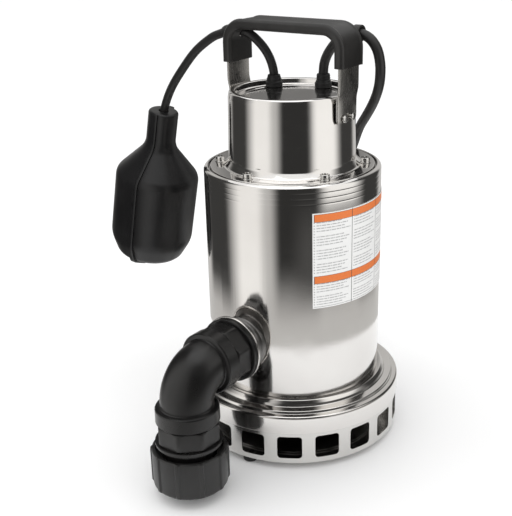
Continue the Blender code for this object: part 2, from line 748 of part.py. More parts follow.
# ---------------------------------------------------------------- cords
CABLE_HOLE = 0.0056
FLOAT_CABLE_INSIDE = (
    (-0.0355, 0.0220, 0.3240), (-0.0355, 0.0220, 0.3350), (-0.0355, 0.0217, 0.3450), (-0.0361, 0.0182, 0.3560),
    (-0.0379, 0.0130, 0.3660), (-0.0415, 0.0074, 0.3745), (-0.0470, 0.0027, 0.3812), (-0.0540, 0.0004, 0.3842),
    (-0.0640, 0.0000, 0.3842), (-0.0764, 0.0000, 0.38145),
)
FLOAT_CABLE_OUTSIDE = (
    (-0.0806, 0.0000, 0.3802), (-0.0920, 0.0000, 0.3757), (-0.1120, 0.0000, 0.3623), (-0.1300, 0.0000, 0.3440),
    (-0.1465, 0.0000, 0.3238), (-0.1568, 0.0000, 0.3050), (-0.1619, 0.0000, 0.2880), (-0.1648, 0.0000, 0.2740),
)
POWER_CORD = (
    (0.0075, 0.0410, 0.3240), (0.0075, 0.0410, 0.3350), (0.0075, 0.0410, 0.3450), (0.0100, 0.0392, 0.3550),
    (0.0180, 0.0345, 0.3660), (0.0300, 0.0292, 0.3765), (0.0430, 0.0252, 0.3838), (0.0555, 0.0236, 0.3860),
    (0.0672, 0.0226, 0.3825), (0.0752, 0.0222, 0.3738), (0.0783, 0.0228, 0.3615), (0.0768, 0.0258, 0.3490),
    (0.0720, 0.0315, 0.3380), (0.0640, 0.0400, 0.3270), (0.0540, 0.0500, 0.3160), (0.0420, 0.0610, 0.3040),
    (0.0290, 0.0725, 0.2910), (0.0170, 0.0840, 0.2750), (0.0060, 0.0920, 0.2540), (-0.0030, 0.0975, 0.2270),
    (-0.0100, 0.1010, 0.1900), (-0.0150, 0.1030, 0.1450), (-0.0190, 0.1050, 0.1000), (-0.0218, 0.1080, 0.0620),
    (-0.0238, 0.1125, 0.0370), (-0.0255, 0.1200, 0.0180), (-0.0275, 0.1310, 0.0078), (-0.0315, 0.1500, 0.0047),
)


def glands(finish, parent):
    top = DISH_FLOOR + GAP
    collar = [
        (0.0049, 0.3220), (0.0060, 0.3220), (0.0060, top), (0.0080, top), (0.0080, top + 0.0042),
        (0.0072, top + 0.0052), (0.0060, top + 0.0110), (0.0049, top + 0.0110),
    ]
    turned("float_cable_gland", collar, finish, parent, SMALL_STEPS, location=(*FLOAT_GLAND, 0))
    boot = collar[:5] + [(0.0074, top + 0.0052), (0.0064, top + 0.0125), (0.0053, top + 0.0125)]
    boot[0] = (0.0053, 0.3220)
    turned("power_cord_boot", boot, finish, parent, SMALL_STEPS, location=(*POWER_GLAND, 0))
    bm = bmesh.new()
    rings, bores = [], []
    first, last = Vector((-0.0672, 0, 0.3834)), Vector((-0.0756, 0, 0.3817))
    direction = (last - first).normalized()
    up = direction.cross(Vector((0, 1, 0)))
    for end, radius in ((first, 0.0066), (first.lerp(last, 0.7), 0.0064), (last, 0.0054)):
        ring = [Vector((0, math.cos(a), 0)) + up * math.sin(a) for a in steps_round(SMALL_STEPS)]
        rings.append([end + offset * radius for offset in ring])
        bores.append([end + offset * 0.0047 for offset in ring])
    lofted(bm, rings, bores)
    add_object("float_cable_bushing", bm, finish, parent)


def cord_coil(finish, parent):
    """The put-away length, as the plain ring that its turns fill."""
    inner, outer = COIL_MEAN_RADIUS - COIL_HALF_WIDTH, COIL_MEAN_RADIUS + COIL_HALF_WIDTH
    corner = 0.004
    profile = [
        (inner, 0), (outer - corner, 0), (outer, corner), (outer, COIL_HEIGHT - corner),
        (outer - corner, COIL_HEIGHT), (inner, COIL_HEIGHT),
    ]
    turned("power_cord_coil", profile, finish, parent, MEDIUM_STEPS, location=(*COIL_CENTRE, 0))


def coil_tie(finish, parent):
    """A strap over the coil, down to the floor at both ends."""
    near = COIL_MEAN_RADIUS - COIL_HALF_WIDTH - 4 * GAP
    far = COIL_MEAN_RADIUS + COIL_HALF_WIDTH + 2 * GAP
    top = COIL_HEIGHT + GAP
    outline = [
        (near, 0.0004), (near, top), (far, top), (far, 0.0004), (far + TIE_SHEET, 0.0004),
        (far + TIE_SHEET, top + TIE_SHEET), (near - TIE_SHEET, top + TIE_SHEET), (near - TIE_SHEET, 0.0004),
    ]
    bm = bmesh.new()
    lofted(bm, [[(r, side * TIE_WIDTH / 2, z) for r, z in outline] for side in (-1, 1)])
    place = {"location": (*COIL_CENTRE, 0), "rotation": (0, 0, TIE_ANGLE)}
    add_object("coil_tie", bm, finish, parent, **place)


def power_plug(finish, parent):
    """Body, tapered tail and blades in one piece, lying across the coil's top; local +X is towards the blades.

    Its tail is PLUG_TAIL from the coil's middle, measured to the plug's right and ahead.
    """
    sections = [
        (-PLUG_TAIL_LENGTH, 0.0108, 0.0108, 0.0053), (-0.0190, 0.0150, 0.0150, 0.0070),
        (-0.0150, 0.0250, 0.0230, 0.0080),
        (-0.0050, PLUG_WIDTH, PLUG_HEIGHT, 0.0080), (0.0140, PLUG_WIDTH, PLUG_HEIGHT, 0.0080),
        (0.0160, PLUG_WIDTH - 0.003, PLUG_HEIGHT - 0.003, 0.0070),
    ]
    bm = bmesh.new()
    rings = []
    for x, wide, high, corner in sections:
        rings.append([(x, y, z) for y, z in rounded_rectangle(wide, high, corner, 2)])
    lofted(bm, rings)
    right = Vector(polar(PLUG_TAIL[0], PLUG_HEADING - 90))
    ahead = Vector(polar(PLUG_TAIL[1] + PLUG_TAIL_LENGTH, PLUG_HEADING))
    middle = Vector(COIL_CENTRE) + right + ahead
    place = {"location": (*middle, COIL_HEIGHT + PLUG_HEIGHT / 2 + GAP), "rotation": (0, 0, PLUG_HEADING)}
    item = add_object("power_plug", bm, finish, parent, **place)
    bm = bmesh.new()
    for side in (-1, 1):
        middle = side * 0.00635
        box(bm, (0.0140, middle - 0.00075, -0.0010), (0.0335, middle + 0.00075, 0.0053))
    pin = [(0.0024 * math.cos(a), -0.0065 + 0.0024 * math.sin(a)) for a in steps_round(8)]
    lofted(bm, [[(x, y, z) for y, z in pin] for x in (0.0140, 0.0355)])
    combine(item, add_object("plug_blades", bm, None, parent, **place), "UNION")


# ---------------------------------------------------------------- float switch
def float_profile(grow):
    """(radius, height below the neck's top) of the float's outside, moved outwards by grow."""
    return [
        (FLOAT_NECK - 0.0030 + grow, grow), (FLOAT_NECK - 0.0008 + grow, -0.0012 + grow),
        (FLOAT_NECK + grow, -0.0040), (FLOAT_NECK + grow, -0.0370 + grow * 0.5),
        (FLOAT_RADIUS - 0.0025 + grow, -0.0655 + grow * 0.5), (FLOAT_RADIUS + grow, -0.0710),
        (FLOAT_RADIUS - 0.0012 + grow, -0.1380), (FLOAT_RADIUS - 0.0060 + grow, -0.1530 - grow * 0.3),
        (FLOAT_RADIUS - 0.0160 + grow * 0.7, -0.1650 - grow * 0.7),
        (0.0120 + grow * 0.3, 0.0015 - FLOAT_LENGTH - grow),
    ]


def float_half(name, start, finish, parent):
    """Half of the float's shell, with the flange along its seam, turned from the given start angle."""
    outside = float_profile(0.0)
    inside = float_profile(-FLOAT_WALL)
    inside[0] = (0.0062, 0.0)
    inside[1] = (0.0062, -0.0100)
    inside[2] = (FLOAT_NECK - FLOAT_WALL, -0.0100)
    wall = outside + [(0.0, -FLOAT_LENGTH), (0.0, -FLOAT_LENGTH + FLOAT_WALL)] + inside[::-1]
    bm = bmesh.new()
    lathe(bm, wall, 12, start + 0.4, 179.2)
    item = add_object(name, bm, finish, parent)
    ridge = float_profile(SEAM_RIDGE)
    inner = float_profile(-FLOAT_WALL * 0.5)
    side = [(r, z) for r, z in ridge] + [(0.0, -FLOAT_LENGTH - SEAM_RIDGE)]
    back = [(0.0, -FLOAT_LENGTH + FLOAT_WALL * 0.5)] + [(r, z) for r, z in inner[::-1]]
    outline = side + [(-r, z) for r, z in ridge[::-1]]
    outline += [(-r, z) for r, z in inner] + back
    turn = Matrix.Rotation(math.radians(start), 3, "Z")
    bm = bmesh.new()
    lofted(bm, [[turn @ Vector((r, depth, z)) for r, z in outline] for depth in (0.0002, SEAM_HALF)])
    combine(item, add_object(name + "_flange", bm, None, parent), "UNION")


def float_inside(finishes, frame, ball_frame):
    plastic, steel, rubber = finishes
    tube = [
        (0, -0.1560), (CAPSULE_RADIUS, -0.1560), (CAPSULE_RADIUS, -0.0960), (CAPSULE_RADIUS - 0.002, -0.0960),
        (CAPSULE_RADIUS - 0.002, -0.1540), (0, -0.1540),
    ]
    turned("switch_capsule", tube, plastic, frame, MEDIUM_STEPS)
    bm = bmesh.new()
    bmesh.ops.create_icosphere(bm, subdivisions=2, radius=BALL_RADIUS)
    add_object("switch_ball", bm, steel, ball_frame)
    bm = bmesh.new()
    box(bm, (-0.007, -0.010, -0.0945), (0.007, 0.010, -0.0820))
    add_object("micro_switch", bm, plastic, frame)
    turned("neck_grommet", ring_profile(0.0050, 0.0120, -0.0240, -0.0105), rubber, frame, SMALL_STEPS)


# ---------------------------------------------------------------- label and plug
def label(finish, parent):
    start, end = LABEL_ANGLES
    steps = 16
    inner, outer = SHELL_RADIUS + GAP, SHELL_RADIUS + GAP + 0.0004
    rings = []
    for step in range(steps + 1):
        angle = start + (end - start) * step / steps
        low, high = LABEL_HEIGHTS
        ring = [(*polar(inner, angle), low), (*polar(outer, angle), low)]
        ring += [(*polar(outer, angle), high), (*polar(inner, angle), high)]
        rings.append(ring)
    bm = bmesh.new()
    lofted(bm, rings)
    add_object("data_label", bm, finish, parent)


def main():
    clear_scene()
    polished = material("polished stainless", (0.72, 0.70, 0.67), 0.16, 1.0)
    brushed = material("brushed stainless", (0.60, 0.58, 0.55), 0.34, 1.0)
    plain_steel = material("machined steel", (0.55, 0.55, 0.56), 0.35, 1.0)
    laminated = material("laminated iron", (0.25, 0.25, 0.27), 0.5, 0.8)
    copper = material("enamelled copper", (0.55, 0.22, 0.08), 0.4, 0.7)
    black_plastic = material("black moulded plastic", (0.025, 0.025, 0.027), 0.45)
    rubber = material("black rubber", (0.020, 0.020, 0.021), 0.6)
    cord_rubber = material("cord jacket", (0.022, 0.022, 0.023), 0.5)
    ceramic = material("seal ceramic", (0.80, 0.78, 0.72), 0.3)
    capacitor_case = material("capacitor case", (0.10, 0.11, 0.13), 0.4)
    label_film = material("label film", (0.90, 0.90, 0.88), 0.45)

    pump = empty("pump_axis", (*PUMP_AXIS, 0))
    rotor_axis = empty("rotor_axis", (0, 0, 0), pump)
    elbow_axis = empty("elbow_axis", (0, ELBOW_START, PORT_Z), pump)
    nut_axis = empty("nut_axis", (0, LEG_Y - ELBOW_START, -PORT_Z), elbow_axis)
    float_axis = empty("float_axis", FLOAT_HINGE, pump)
    offset = [top - hinge for top, hinge in zip(FLOAT_TOP, FLOAT_HINGE)]
    float_frame = empty("float_frame", offset, float_axis, (0, FLOAT_TILT, 0))
    ball_frame = empty("ball_frame", (0, 0, -0.1540 + BALL_RADIUS + GAP), float_frame)

    strainer_ring(polished, pump)
    feet(rubber, pump)
    base_cover(polished, pump)
    turned("suction_plate", [(0, 0.0078), (0.086, 0.0078), (0.086, 0.0093), (0, 0.0093)], brushed, pump)
    pump_housing(black_plastic, pump)
    outer_shell(polished, pump)
    top_cover(polished, pump)
    cover_screws(brushed, pump)
    motor((plain_steel, copper, laminated, rubber, ceramic), pump)
    electrical_parts(capacitor_case, black_plastic, pump)
    rotor((plain_steel, laminated, ceramic, black_plastic), rotor_axis)
    discharge_port(polished, rubber, pump)
    elbow(black_plastic, elbow_axis)
    outlet((black_plastic, rubber), elbow_axis, nut_axis)
    handle_strap(brushed, pump)
    handle_grip(rubber, pump)
    handle_rivets(brushed, pump)
    glands(rubber, pump)
    label(label_film, pump)
    float_half("float_shell_outer", FLOAT_SEAM_ANGLE + 180, black_plastic, float_frame)
    float_half("float_shell_inner", FLOAT_SEAM_ANGLE, black_plastic, float_frame)
    float_inside((black_plastic, plain_steel, rubber), float_frame, ball_frame)
    cord("float_cable_fixed", FLOAT_CABLE_INSIDE, FLOAT_CABLE_RADIUS, cord_rubber, pump, 0.012)
    cord("float_cable_free", FLOAT_CABLE_OUTSIDE, FLOAT_CABLE_RADIUS, cord_rubber, pump, 0.012, True)
    cord("power_cord", POWER_CORD, POWER_CORD_RADIUS, cord_rubber, pump, 0.014)
    cord_coil(cord_rubber, pump)
    coil_tie(black_plastic, pump)
    power_plug(cord_rubber, pump)


main()
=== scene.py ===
"""Looks of the submersible sump pump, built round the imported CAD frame.

Metres, +Z up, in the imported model's own frame.  Most pieces are modelled in pump coordinates, whose
Z axis is the pump's own axis, and are then placed on PUMP_AXIS.
"""

import json
import math

import bmesh
import bpy
from mathutils import Matrix, Vector


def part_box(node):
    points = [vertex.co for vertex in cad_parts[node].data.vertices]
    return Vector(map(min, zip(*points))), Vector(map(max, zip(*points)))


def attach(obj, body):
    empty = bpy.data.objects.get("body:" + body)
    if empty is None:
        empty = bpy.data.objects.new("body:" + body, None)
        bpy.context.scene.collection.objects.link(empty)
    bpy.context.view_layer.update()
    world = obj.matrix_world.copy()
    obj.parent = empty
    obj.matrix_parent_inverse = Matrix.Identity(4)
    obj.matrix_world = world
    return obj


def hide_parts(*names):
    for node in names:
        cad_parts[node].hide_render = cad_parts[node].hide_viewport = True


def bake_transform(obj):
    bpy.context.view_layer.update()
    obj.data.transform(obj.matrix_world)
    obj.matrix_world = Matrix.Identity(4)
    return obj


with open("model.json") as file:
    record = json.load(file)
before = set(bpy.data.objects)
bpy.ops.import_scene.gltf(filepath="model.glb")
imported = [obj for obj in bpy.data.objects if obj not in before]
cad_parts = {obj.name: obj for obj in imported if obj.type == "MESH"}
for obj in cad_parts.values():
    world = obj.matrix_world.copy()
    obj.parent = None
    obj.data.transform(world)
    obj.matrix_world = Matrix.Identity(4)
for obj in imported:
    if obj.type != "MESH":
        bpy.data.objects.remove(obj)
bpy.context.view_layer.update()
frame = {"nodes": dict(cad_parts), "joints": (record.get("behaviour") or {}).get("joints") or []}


# ---------------------------------------------------------------- places read from the frame
def middle(node):
    low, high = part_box(node)
    return (low + high) / 2


def half_width(node):
    low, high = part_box(node)
    return (high.x - low.x) / 2


def heights(node):
    low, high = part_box(node)
    return low.z, high.z


def joint(name):
    return next(entry for entry in frame["joints"] if entry["name"] == name)


PUMP_AXIS = Vector((middle("outer_shell").x, middle("outer_shell").y, 0))
SHELL_RADIUS = half_width("outer_shell")
SHELL_BOTTOM, SHELL_TOP = heights("outer_shell")
COVER_FLANGE = half_width("top_cover")
COVER_TOP = heights("top_cover")[1]
BASE_RADIUS = half_width("base_cover")
BASE_BOTTOM, BASE_TOP = heights("base_cover")
STRAINER_RADIUS = half_width("strainer_ring")
STRAINER_BOTTOM, STRAINER_TOP = heights("strainer_ring")
ELBOW_PIVOT = Vector(joint("elbow_swivel")["pos_m"])
PORT_HEIGHT = ELBOW_PIVOT.z
LEG_AXIS = Vector(joint("nut_turn")["pos_m"])
NUT_BOTTOM, NUT_TOP = heights("union_nut")
STRAP_X = half_width("handle_strap") - 0.001
STRAP_BOTTOM, STRAP_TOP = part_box("handle_strap")[0].z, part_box("handle_strap")[1].z - 0.001
FLOAT_AXIS = Vector(joint("ball_roll")["axis"]).normalized()
FLOAT_NECK_TOP = middle("neck_grommet") + FLOAT_AXIS * 0.01725
COIL_CENTRE = middle("power_cord_coil")

# ---------------------------------------------------------------- sizes of the finer shapes
LATHE_STEPS = 160
CORNER_STEPS = 5
SCREWS = 6
RIVETS = 4
WINDOW_COUNT = 18
WINDOW_PHASE = 2.4
WINDOW_WIDTH = 0.0232
WINDOW_HEIGHTS = (0.012, 0.0346)
WINDOW_CORNER = 0.0032
DISH_FLOOR = 0.3315
ELBOW_TUBE = 0.0238
ELBOW_BORE = 0.0195
ELBOW_BEND = 0.025
ELBOW_FLANGE = 0.030
ELBOW_COLLAR = 0.0286
LEG_BOTTOM = 0.0514
NUT_RADIUS = 0.0337
NUT_RIB = 0.0013
NUT_RIBS = 10
STRAP_WIDTH = 0.0315
STRAP_SHEET = 0.002
BEND_RADIUS = 0.017
GRIP_WIDTH = 0.0355
GRIP_DEPTH = 0.0098
GRIP_ENDS = (0.358, 0.361)
CLIP_CENTRE = (0.0236, 0.3858)
FLOAT_SEAM_ANGLE = -78.0
LABEL_ANGLES = (-42.8, 35.5)
LABEL_HEIGHTS = (0.1545, 0.2435)

# ---------------------------------------------------------------- cords, routes repeated from the CAD
CABLE_DIAMETER = 0.0084
CORD_DIAMETER = 0.0090
FLOAT_CABLE = (
    (-0.0355, 0.0220, 0.3240), (-0.0355, 0.0220, 0.3350), (-0.0355, 0.0217, 0.3450),
    (-0.0361, 0.0182, 0.3560),
    (-0.0379, 0.0130, 0.3660), (-0.0415, 0.0074, 0.3745), (-0.0470, 0.0027, 0.3812),
    (-0.0540, 0.0004, 0.3842),
    (-0.0640, 0.0000, 0.3842), (-0.0764, 0.0000, 0.38145), (-0.0806, 0.0000, 0.3802),
    (-0.0920, 0.0000, 0.3757),
    (-0.1120, 0.0000, 0.3623), (-0.1300, 0.0000, 0.3440), (-0.1465, 0.0000, 0.3238),
    (-0.1568, 0.0000, 0.3050),
    (-0.1619, 0.0000, 0.2880), (-0.1648, 0.0000, 0.2740),
)
POWER_CORD = (
    (0.0075, 0.0410, 0.3240), (0.0075, 0.0410, 0.3350), (0.0075, 0.0410, 0.3450), (0.0100, 0.0392, 0.3550),
    (0.0180, 0.0345, 0.3660), (0.0300, 0.0292, 0.3765), (0.0430, 0.0252, 0.3838), (0.0555, 0.0236, 0.3860),
    (0.0672, 0.0226, 0.3825), (0.0752, 0.0222, 0.3738), (0.0783, 0.0228, 0.3615), (0.0768, 0.0258, 0.3490),
    (0.0720, 0.0315, 0.3380), (0.0640, 0.0400, 0.3270), (0.0540, 0.0500, 0.3160), (0.0420, 0.0610, 0.3040),
    (0.0290, 0.0725, 0.2910), (0.0170, 0.0840, 0.2750), (0.0060, 0.0920, 0.2540), (-0.0030, 0.0975, 0.2270),
    (-0.0100, 0.1010, 0.1900), (-0.0150, 0.1030, 0.1450), (-0.0190, 0.1050, 0.1000),
    (-0.0218, 0.1080, 0.0620),
    (-0.0238, 0.1125, 0.0370), (-0.0255, 0.1200, 0.0180), (-0.0275, 0.1310, 0.0078),
    (-0.0315, 0.1500, 0.0047),
)
COIL_MEAN_RADIUS = 0.0515
COIL_MOVE = 50.0
# Each move: the angle at which it begins, then the slot it leads to, as diameters outwards and layers up.
COIL_SLOTS = (
    (24, (1, 0)), (160, (0, 0)), (520, (-1, 0)), (830, (-1, 1)), (1140, (0, 1)), (1500, (1, 1)),
    (1810, (1, 2)),
)
COIL_END = 1910
PLUG_ARC = 0.038
PLUG_TAIL = (0.0225, -0.0125)
PLUG_AXIS_Z = 0.0304


# ---------------------------------------------------------------- mesh helpers
def piece(name, bm, finish, body, replaces=(), slot=None, at=PUMP_AXIS, turn=None, sharp=35):
    """One visible piece from a bmesh, with outward normals, placed, riding on its body."""
    if turn:
        bmesh.ops.transform(bm, matrix=turn, verts=bm.verts)
    bmesh.ops.recalc_face_normals(bm, faces=bm.faces)
    mesh = bpy.data.meshes.new(name)
    bm.to_mesh(mesh)
    bm.free()
    mesh.shade_smooth()
    mesh.set_sharp_from_angle(angle=math.radians(sharp))
    item = bpy.data.objects.new(name, mesh)
    bpy.context.scene.collection.objects.link(item)
    item.location = at
    for entry in finish if isinstance(finish, (list, tuple)) else [finish]:
        mesh.materials.append(entry)
    if body:
        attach(item, body)
    if replaces:
        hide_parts(*([replaces] if isinstance(replaces, str) else replaces))
    return item


def carve(item, cutter, operation="DIFFERENCE"):
    """Cuts the piece with another mesh, or joins them, and keeps the result as the piece's own mesh."""
    modifier = item.modifiers.new("carve", "BOOLEAN")
    modifier.operation = operation
    modifier.solver = "EXACT"
    modifier.object = cutter
    bpy.context.view_layer.update()
    graph = bpy.context.evaluated_depsgraph_get()
    made = bpy.data.meshes.new_from_object(item.evaluated_get(graph))
    item.modifiers.clear()
    item.data = made
    made.set_sharp_from_angle(angle=math.radians(35))
    bpy.data.objects.remove(cutter, do_unlink=True)


def filleted(corners, steps=CORNER_STEPS, closed=True):
    """Outline with its corners rounded: each corner is (r, z) or (r, z, fillet radius)."""
    outline = []
    count = len(corners)
    for index, corner in enumerate(corners):
        here = Vector(corner[:2])
        radius = corner[2] if len(corner) > 2 else 0
        ends = not closed and index in (0, count - 1)
        if not radius or ends:
            outline.append(here)
            continue
        back = (Vector(corners[index - 1][:2]) - here).normalized()
        ahead = (Vector(corners[(index + 1) % count][:2]) - here).normalized()
        half = back.angle(ahead) / 2
        reach = radius / math.tan(half)
        centre = here + (back + ahead).normalized() * (radius / math.sin(half))
        first, last = here + back * reach - centre, here + ahead * reach - centre
        for step in range(steps + 1):
            share = step / steps
            outline.append(centre + first.lerp(last, share).normalized() * radius)
    return outline


def bridge(bm, first, second):
    count = len(first)
    for index in range(count):
        after = (index + 1) % count
        bm.faces.new((first[index], first[after], second[after], second[index]))


def lofted(bm, rings, caps=True):
    made = [[bm.verts.new(point) for point in ring] for ring in rings]
    for first, second in zip(made, made[1:]):
        bridge(bm, first, second)
    if caps:
        bm.faces.new(made[0])
        bm.faces.new(made[-1])
    return made


def pipe(bm, outer, inner):
    """A tube with a wall: rings of the outside and of the bore, joined at both ends."""
    outside = lofted(bm, outer, caps=False)
    inside = lofted(bm, inner, caps=False)
    bridge(bm, outside[0], inside[0])
    bridge(bm, outside[-1], inside[-1])


def lathe(bm, outline, steps=LATHE_STEPS, start=0.0, turn=360.0):
    """Turns a closed (r, z) outline about Z; a point on the axis stays a single vertex."""
    whole = turn >= 360.0
    count = steps if whole else steps + 1
    rings = []
    for radius, height in outline:
        if abs(radius) < 1e-9:
            rings.append([bm.verts.new((0, 0, height))] * count)
            continue
        angles = [math.radians(start + turn * step / steps) for step in range(count)]
        rings.append([bm.verts.new((radius * math.cos(a), radius * math.sin(a), height)) for a in angles])
    for index, ring in enumerate(rings):
        other = rings[(index + 1) % len(rings)]
        for step in range(steps):
            after = (step + 1) % count
            corners = list(dict.fromkeys((ring[step], ring[after], other[after], other[step])))
            if len(corners) > 2:
                bm.faces.new(corners)
    if not whole:
        bm.faces.new(list(dict.fromkeys(ring[0] for ring in rings)))
        bm.faces.new(list(dict.fromkeys(ring[-1] for ring in rings)))


def turned(name, corners, finish, body, steps=LATHE_STEPS, **rest):
    bm = bmesh.new()
    lathe(bm, filleted(corners), steps)
    return piece(name, bm, finish, body, **rest)


def circle(radius, count, phase=0.0):
    return [
        (
            radius * math.cos(phase + 2 * math.pi * step / count),
            radius * math.sin(phase + 2 * math.pi * step / count),
        )
        for step in range(count)
    ]


def polar(radius, degrees):
    return radius * math.cos(math.radians(degrees)), radius * math.sin(math.radians(degrees))


def rounded_rectangle(width, height, corner, steps=CORNER_STEPS):
    half_w, half_h = width / 2, height / 2
    corners = [
        (half_w, half_h, corner), (-half_w, half_h, corner), (-half_w, -half_h, corner),
        (half_w, -half_h, corner),
    ]
    return [tuple(point) for point in filleted(corners, steps)]


def smooth_route(points, spacing):
    """Points a given distance apart along a Catmull-Rom curve through the route's own points."""
    knots = [Vector(point) for point in points]
    knots = [2 * knots[0] - knots[1]] + knots + [2 * knots[-1] - knots[-2]]
    fine = []
    for before, first, second, after in zip(knots, knots[1:], knots[2:], knots[3:]):
        for step in range(12):
            t = step / 12
            slope = (second - before) * t
            bend = (2 * before - 5 * first + 4 * second - after) * t * t
            twist = (3 * first - before - 3 * second + after) * t * t * t
            fine.append(first + 0.5 * (slope + bend + twist))
    fine.append(knots[-2])
    lengths = [0.0]
    for first, second in zip(fine, fine[1:]):
        lengths.append(lengths[-1] + (second - first).length)
    count = max(2, round(lengths[-1] / spacing))
    route = []
    place = 0
    for step in range(count + 1):
        wanted = lengths[-1] * step / count
        while place < len(fine) - 2 and lengths[place + 1] < wanted:
            place += 1
        share = (wanted - lengths[place]) / (lengths[place + 1] - lengths[place])
        route.append(fine[place].lerp(fine[place + 1], min(1.0, share)))
    return route


def eased(share):
    share = min(1.0, max(0.0, share))
    return share * share * (3 - 2 * share)


# ---------------------------------------------------------------- camera, lights and floor
CAMERA_AZIMUTH = -54.5
CAMERA_DISTANCE = 0.83715
CAMERA_HEIGHT = 0.49471
CAMERA_HEADING = 127.97
CAMERA_PITCH = -21.03
CAMERA_ROLL = -1.563
CAMERA_LENS = 64.63
CAMERA_SENSOR = 36.0
STUDIO_STRENGTH = 1.08
FLOOR_RADIUS = 9.0


def add_camera():
    data = bpy.data.cameras.new("camera")
    data.lens = CAMERA_LENS
    data.sensor_width = CAMERA_SENSOR
    item = bpy.data.objects.new("camera", data)
    bpy.context.scene.collection.objects.link(item)
    x, y = polar(CAMERA_DISTANCE, CAMERA_AZIMUTH)
    heading = Matrix.Rotation(math.radians(CAMERA_HEADING - 90), 4, "Z")
    pitch = Matrix.Rotation(math.radians(90 + CAMERA_PITCH), 4, "X")
    roll = Matrix.Rotation(math.radians(CAMERA_ROLL), 4, "Z")
    item.matrix_world = Matrix.Translation(PUMP_AXIS + Vector((x, y, CAMERA_HEIGHT))) @ heading @ pitch @ roll
    bpy.context.scene.camera = item


# The studio round the pump as gloss sees it: a plain bright screen with soft-edged white cards and black
# flags.  Azimuth 0 is the camera's side of the pump, and azimuths grow to the camera's right.
SCREEN_RADIUS = 0.27
SCREEN_TOP = 0.52
SCREEN_STEP = 2
SCREEN_ROW_HEIGHT = 0.02
SCREEN_PLAIN = 0.60
# name, middle azimuth, half width, lowest and highest place, brightness, softness in degrees and in metres
CARDS = (
    ("front_flag", 5, 25, 0.07, 0.60, 0.035, 14, 0.10),
    ("low_right_flag", 45, 40, 0.08, 0.18, 0.08, 24, 0.07),
    ("left_card", -50, 16, 0.00, 0.60, 1.05, 14, 0.05),
    ("right_card", 55, 20, 0.19, 0.60, 1.10, 14, 0.03),
    ("left_flag", -100, 24, 0.06, 0.60, 0.05, 16, 0.06),
    ("right_flag", 105, 22, 0.06, 0.60, 0.05, 16, 0.06),
    ("back_flag", 180, 24, 0.06, 0.60, 0.20, 18, 0.06),
)


def screen_light():
    """Emission whose strength is the screen's own brightness at each place."""
    made = bpy.data.materials.new("screen_light")
    made.use_nodes = True
    nodes = made.node_tree.nodes
    nodes.remove(nodes["Principled BSDF"])
    level = nodes.new("ShaderNodeAttribute")
    level.attribute_name = "level"
    light = nodes.new("ShaderNodeEmission")
    light.inputs["Color"].default_value = (1.0, 0.985, 0.96, 1.0)
    made.node_tree.links.new(level.outputs["Fac"], light.inputs["Strength"])
    made.node_tree.links.new(light.outputs["Emission"], nodes["Material Output"].inputs["Surface"])
    return made


def soft_inside(away, half, soft):
    """1 well inside a card, 0 well outside it, and eased across its edge."""
    return eased((half - away) / soft + 0.5)


def screen_level(azimuth, height):
    level = SCREEN_PLAIN
    for _, middle, half, low, high, brightness, soft, soft_height in CARDS:
        away = abs((azimuth - middle + 180) % 360 - 180)
        share = soft_inside(away, half, soft)
        share *= soft_inside(abs(height - (low + high) / 2), (high - low) / 2, soft_height)
        level += (brightness - level) * share
    return level


def reflection_screen():
    bm = bmesh.new()
    layer = bm.verts.layers.float.new("level")
    columns = 360 // SCREEN_STEP
    rows = []
    for row in range(round(SCREEN_TOP / SCREEN_ROW_HEIGHT) + 1):
        height = row * SCREEN_ROW_HEIGHT
        made = []
        for column in range(columns):
            azimuth = column * SCREEN_STEP
            vertex = bm.verts.new((*polar(SCREEN_RADIUS, CAMERA_AZIMUTH + azimuth), height))
            vertex[layer] = screen_level(azimuth, height)
            made.append(vertex)
        rows.append(made)
    for lower, upper in zip(rows, rows[1:]):
        for column in range(columns):
            after = (column + 1) % columns
            bm.faces.new((lower[column], lower[after], upper[after], upper[column]))
    item = piece("reflection_screen", bm, screen_light(), None)
    item.visible_camera = False
    item.visible_diffuse = False
    item.visible_shadow = False
    item.visible_transmission = False


def area_light(name, location, target, size, power):
    data = bpy.data.lights.new(name, "AREA")
    data.shape = "RECTANGLE"
    data.size, data.size_y = size
    data.energy = power
    item = bpy.data.objects.new(name, data)
    bpy.context.scene.collection.objects.link(item)
    item.location = location
    item.rotation_euler = (Vector(target) - Vector(location)).to_track_quat("-Z", "Y").to_euler()
    return item


def add_studio():
    world = bpy.data.worlds.new("studio")
    bpy.context.scene.world = world
    world.use_nodes = True
    background = world.node_tree.nodes["Background"]
    background.inputs["Color"].default_value = (1.0, 1.0, 1.0, 1.0)
    background.inputs["Strength"].default_value = STUDIO_STRENGTH
    bpy.context.scene.view_settings.view_transform = "Standard"
    area_light("softbox_top", (0.1, -0.1, 1.9), (0, 0, 0), (1.6, 1.6), 5.0)
    area_light("softbox_left", (-1.3, -0.9, 1.1), (0, 0, 0.15), (1.0, 1.2), 4.0)
    bm = bmesh.new()
    lofted(bm, [[(x, y, z) for x, y in circle(FLOOR_RADIUS, 64)] for z in (0, -0.02)])
    floor = piece("floor", bm, pale_floor(), None, at=Vector((0, 0, 0)))
    reflection_screen()


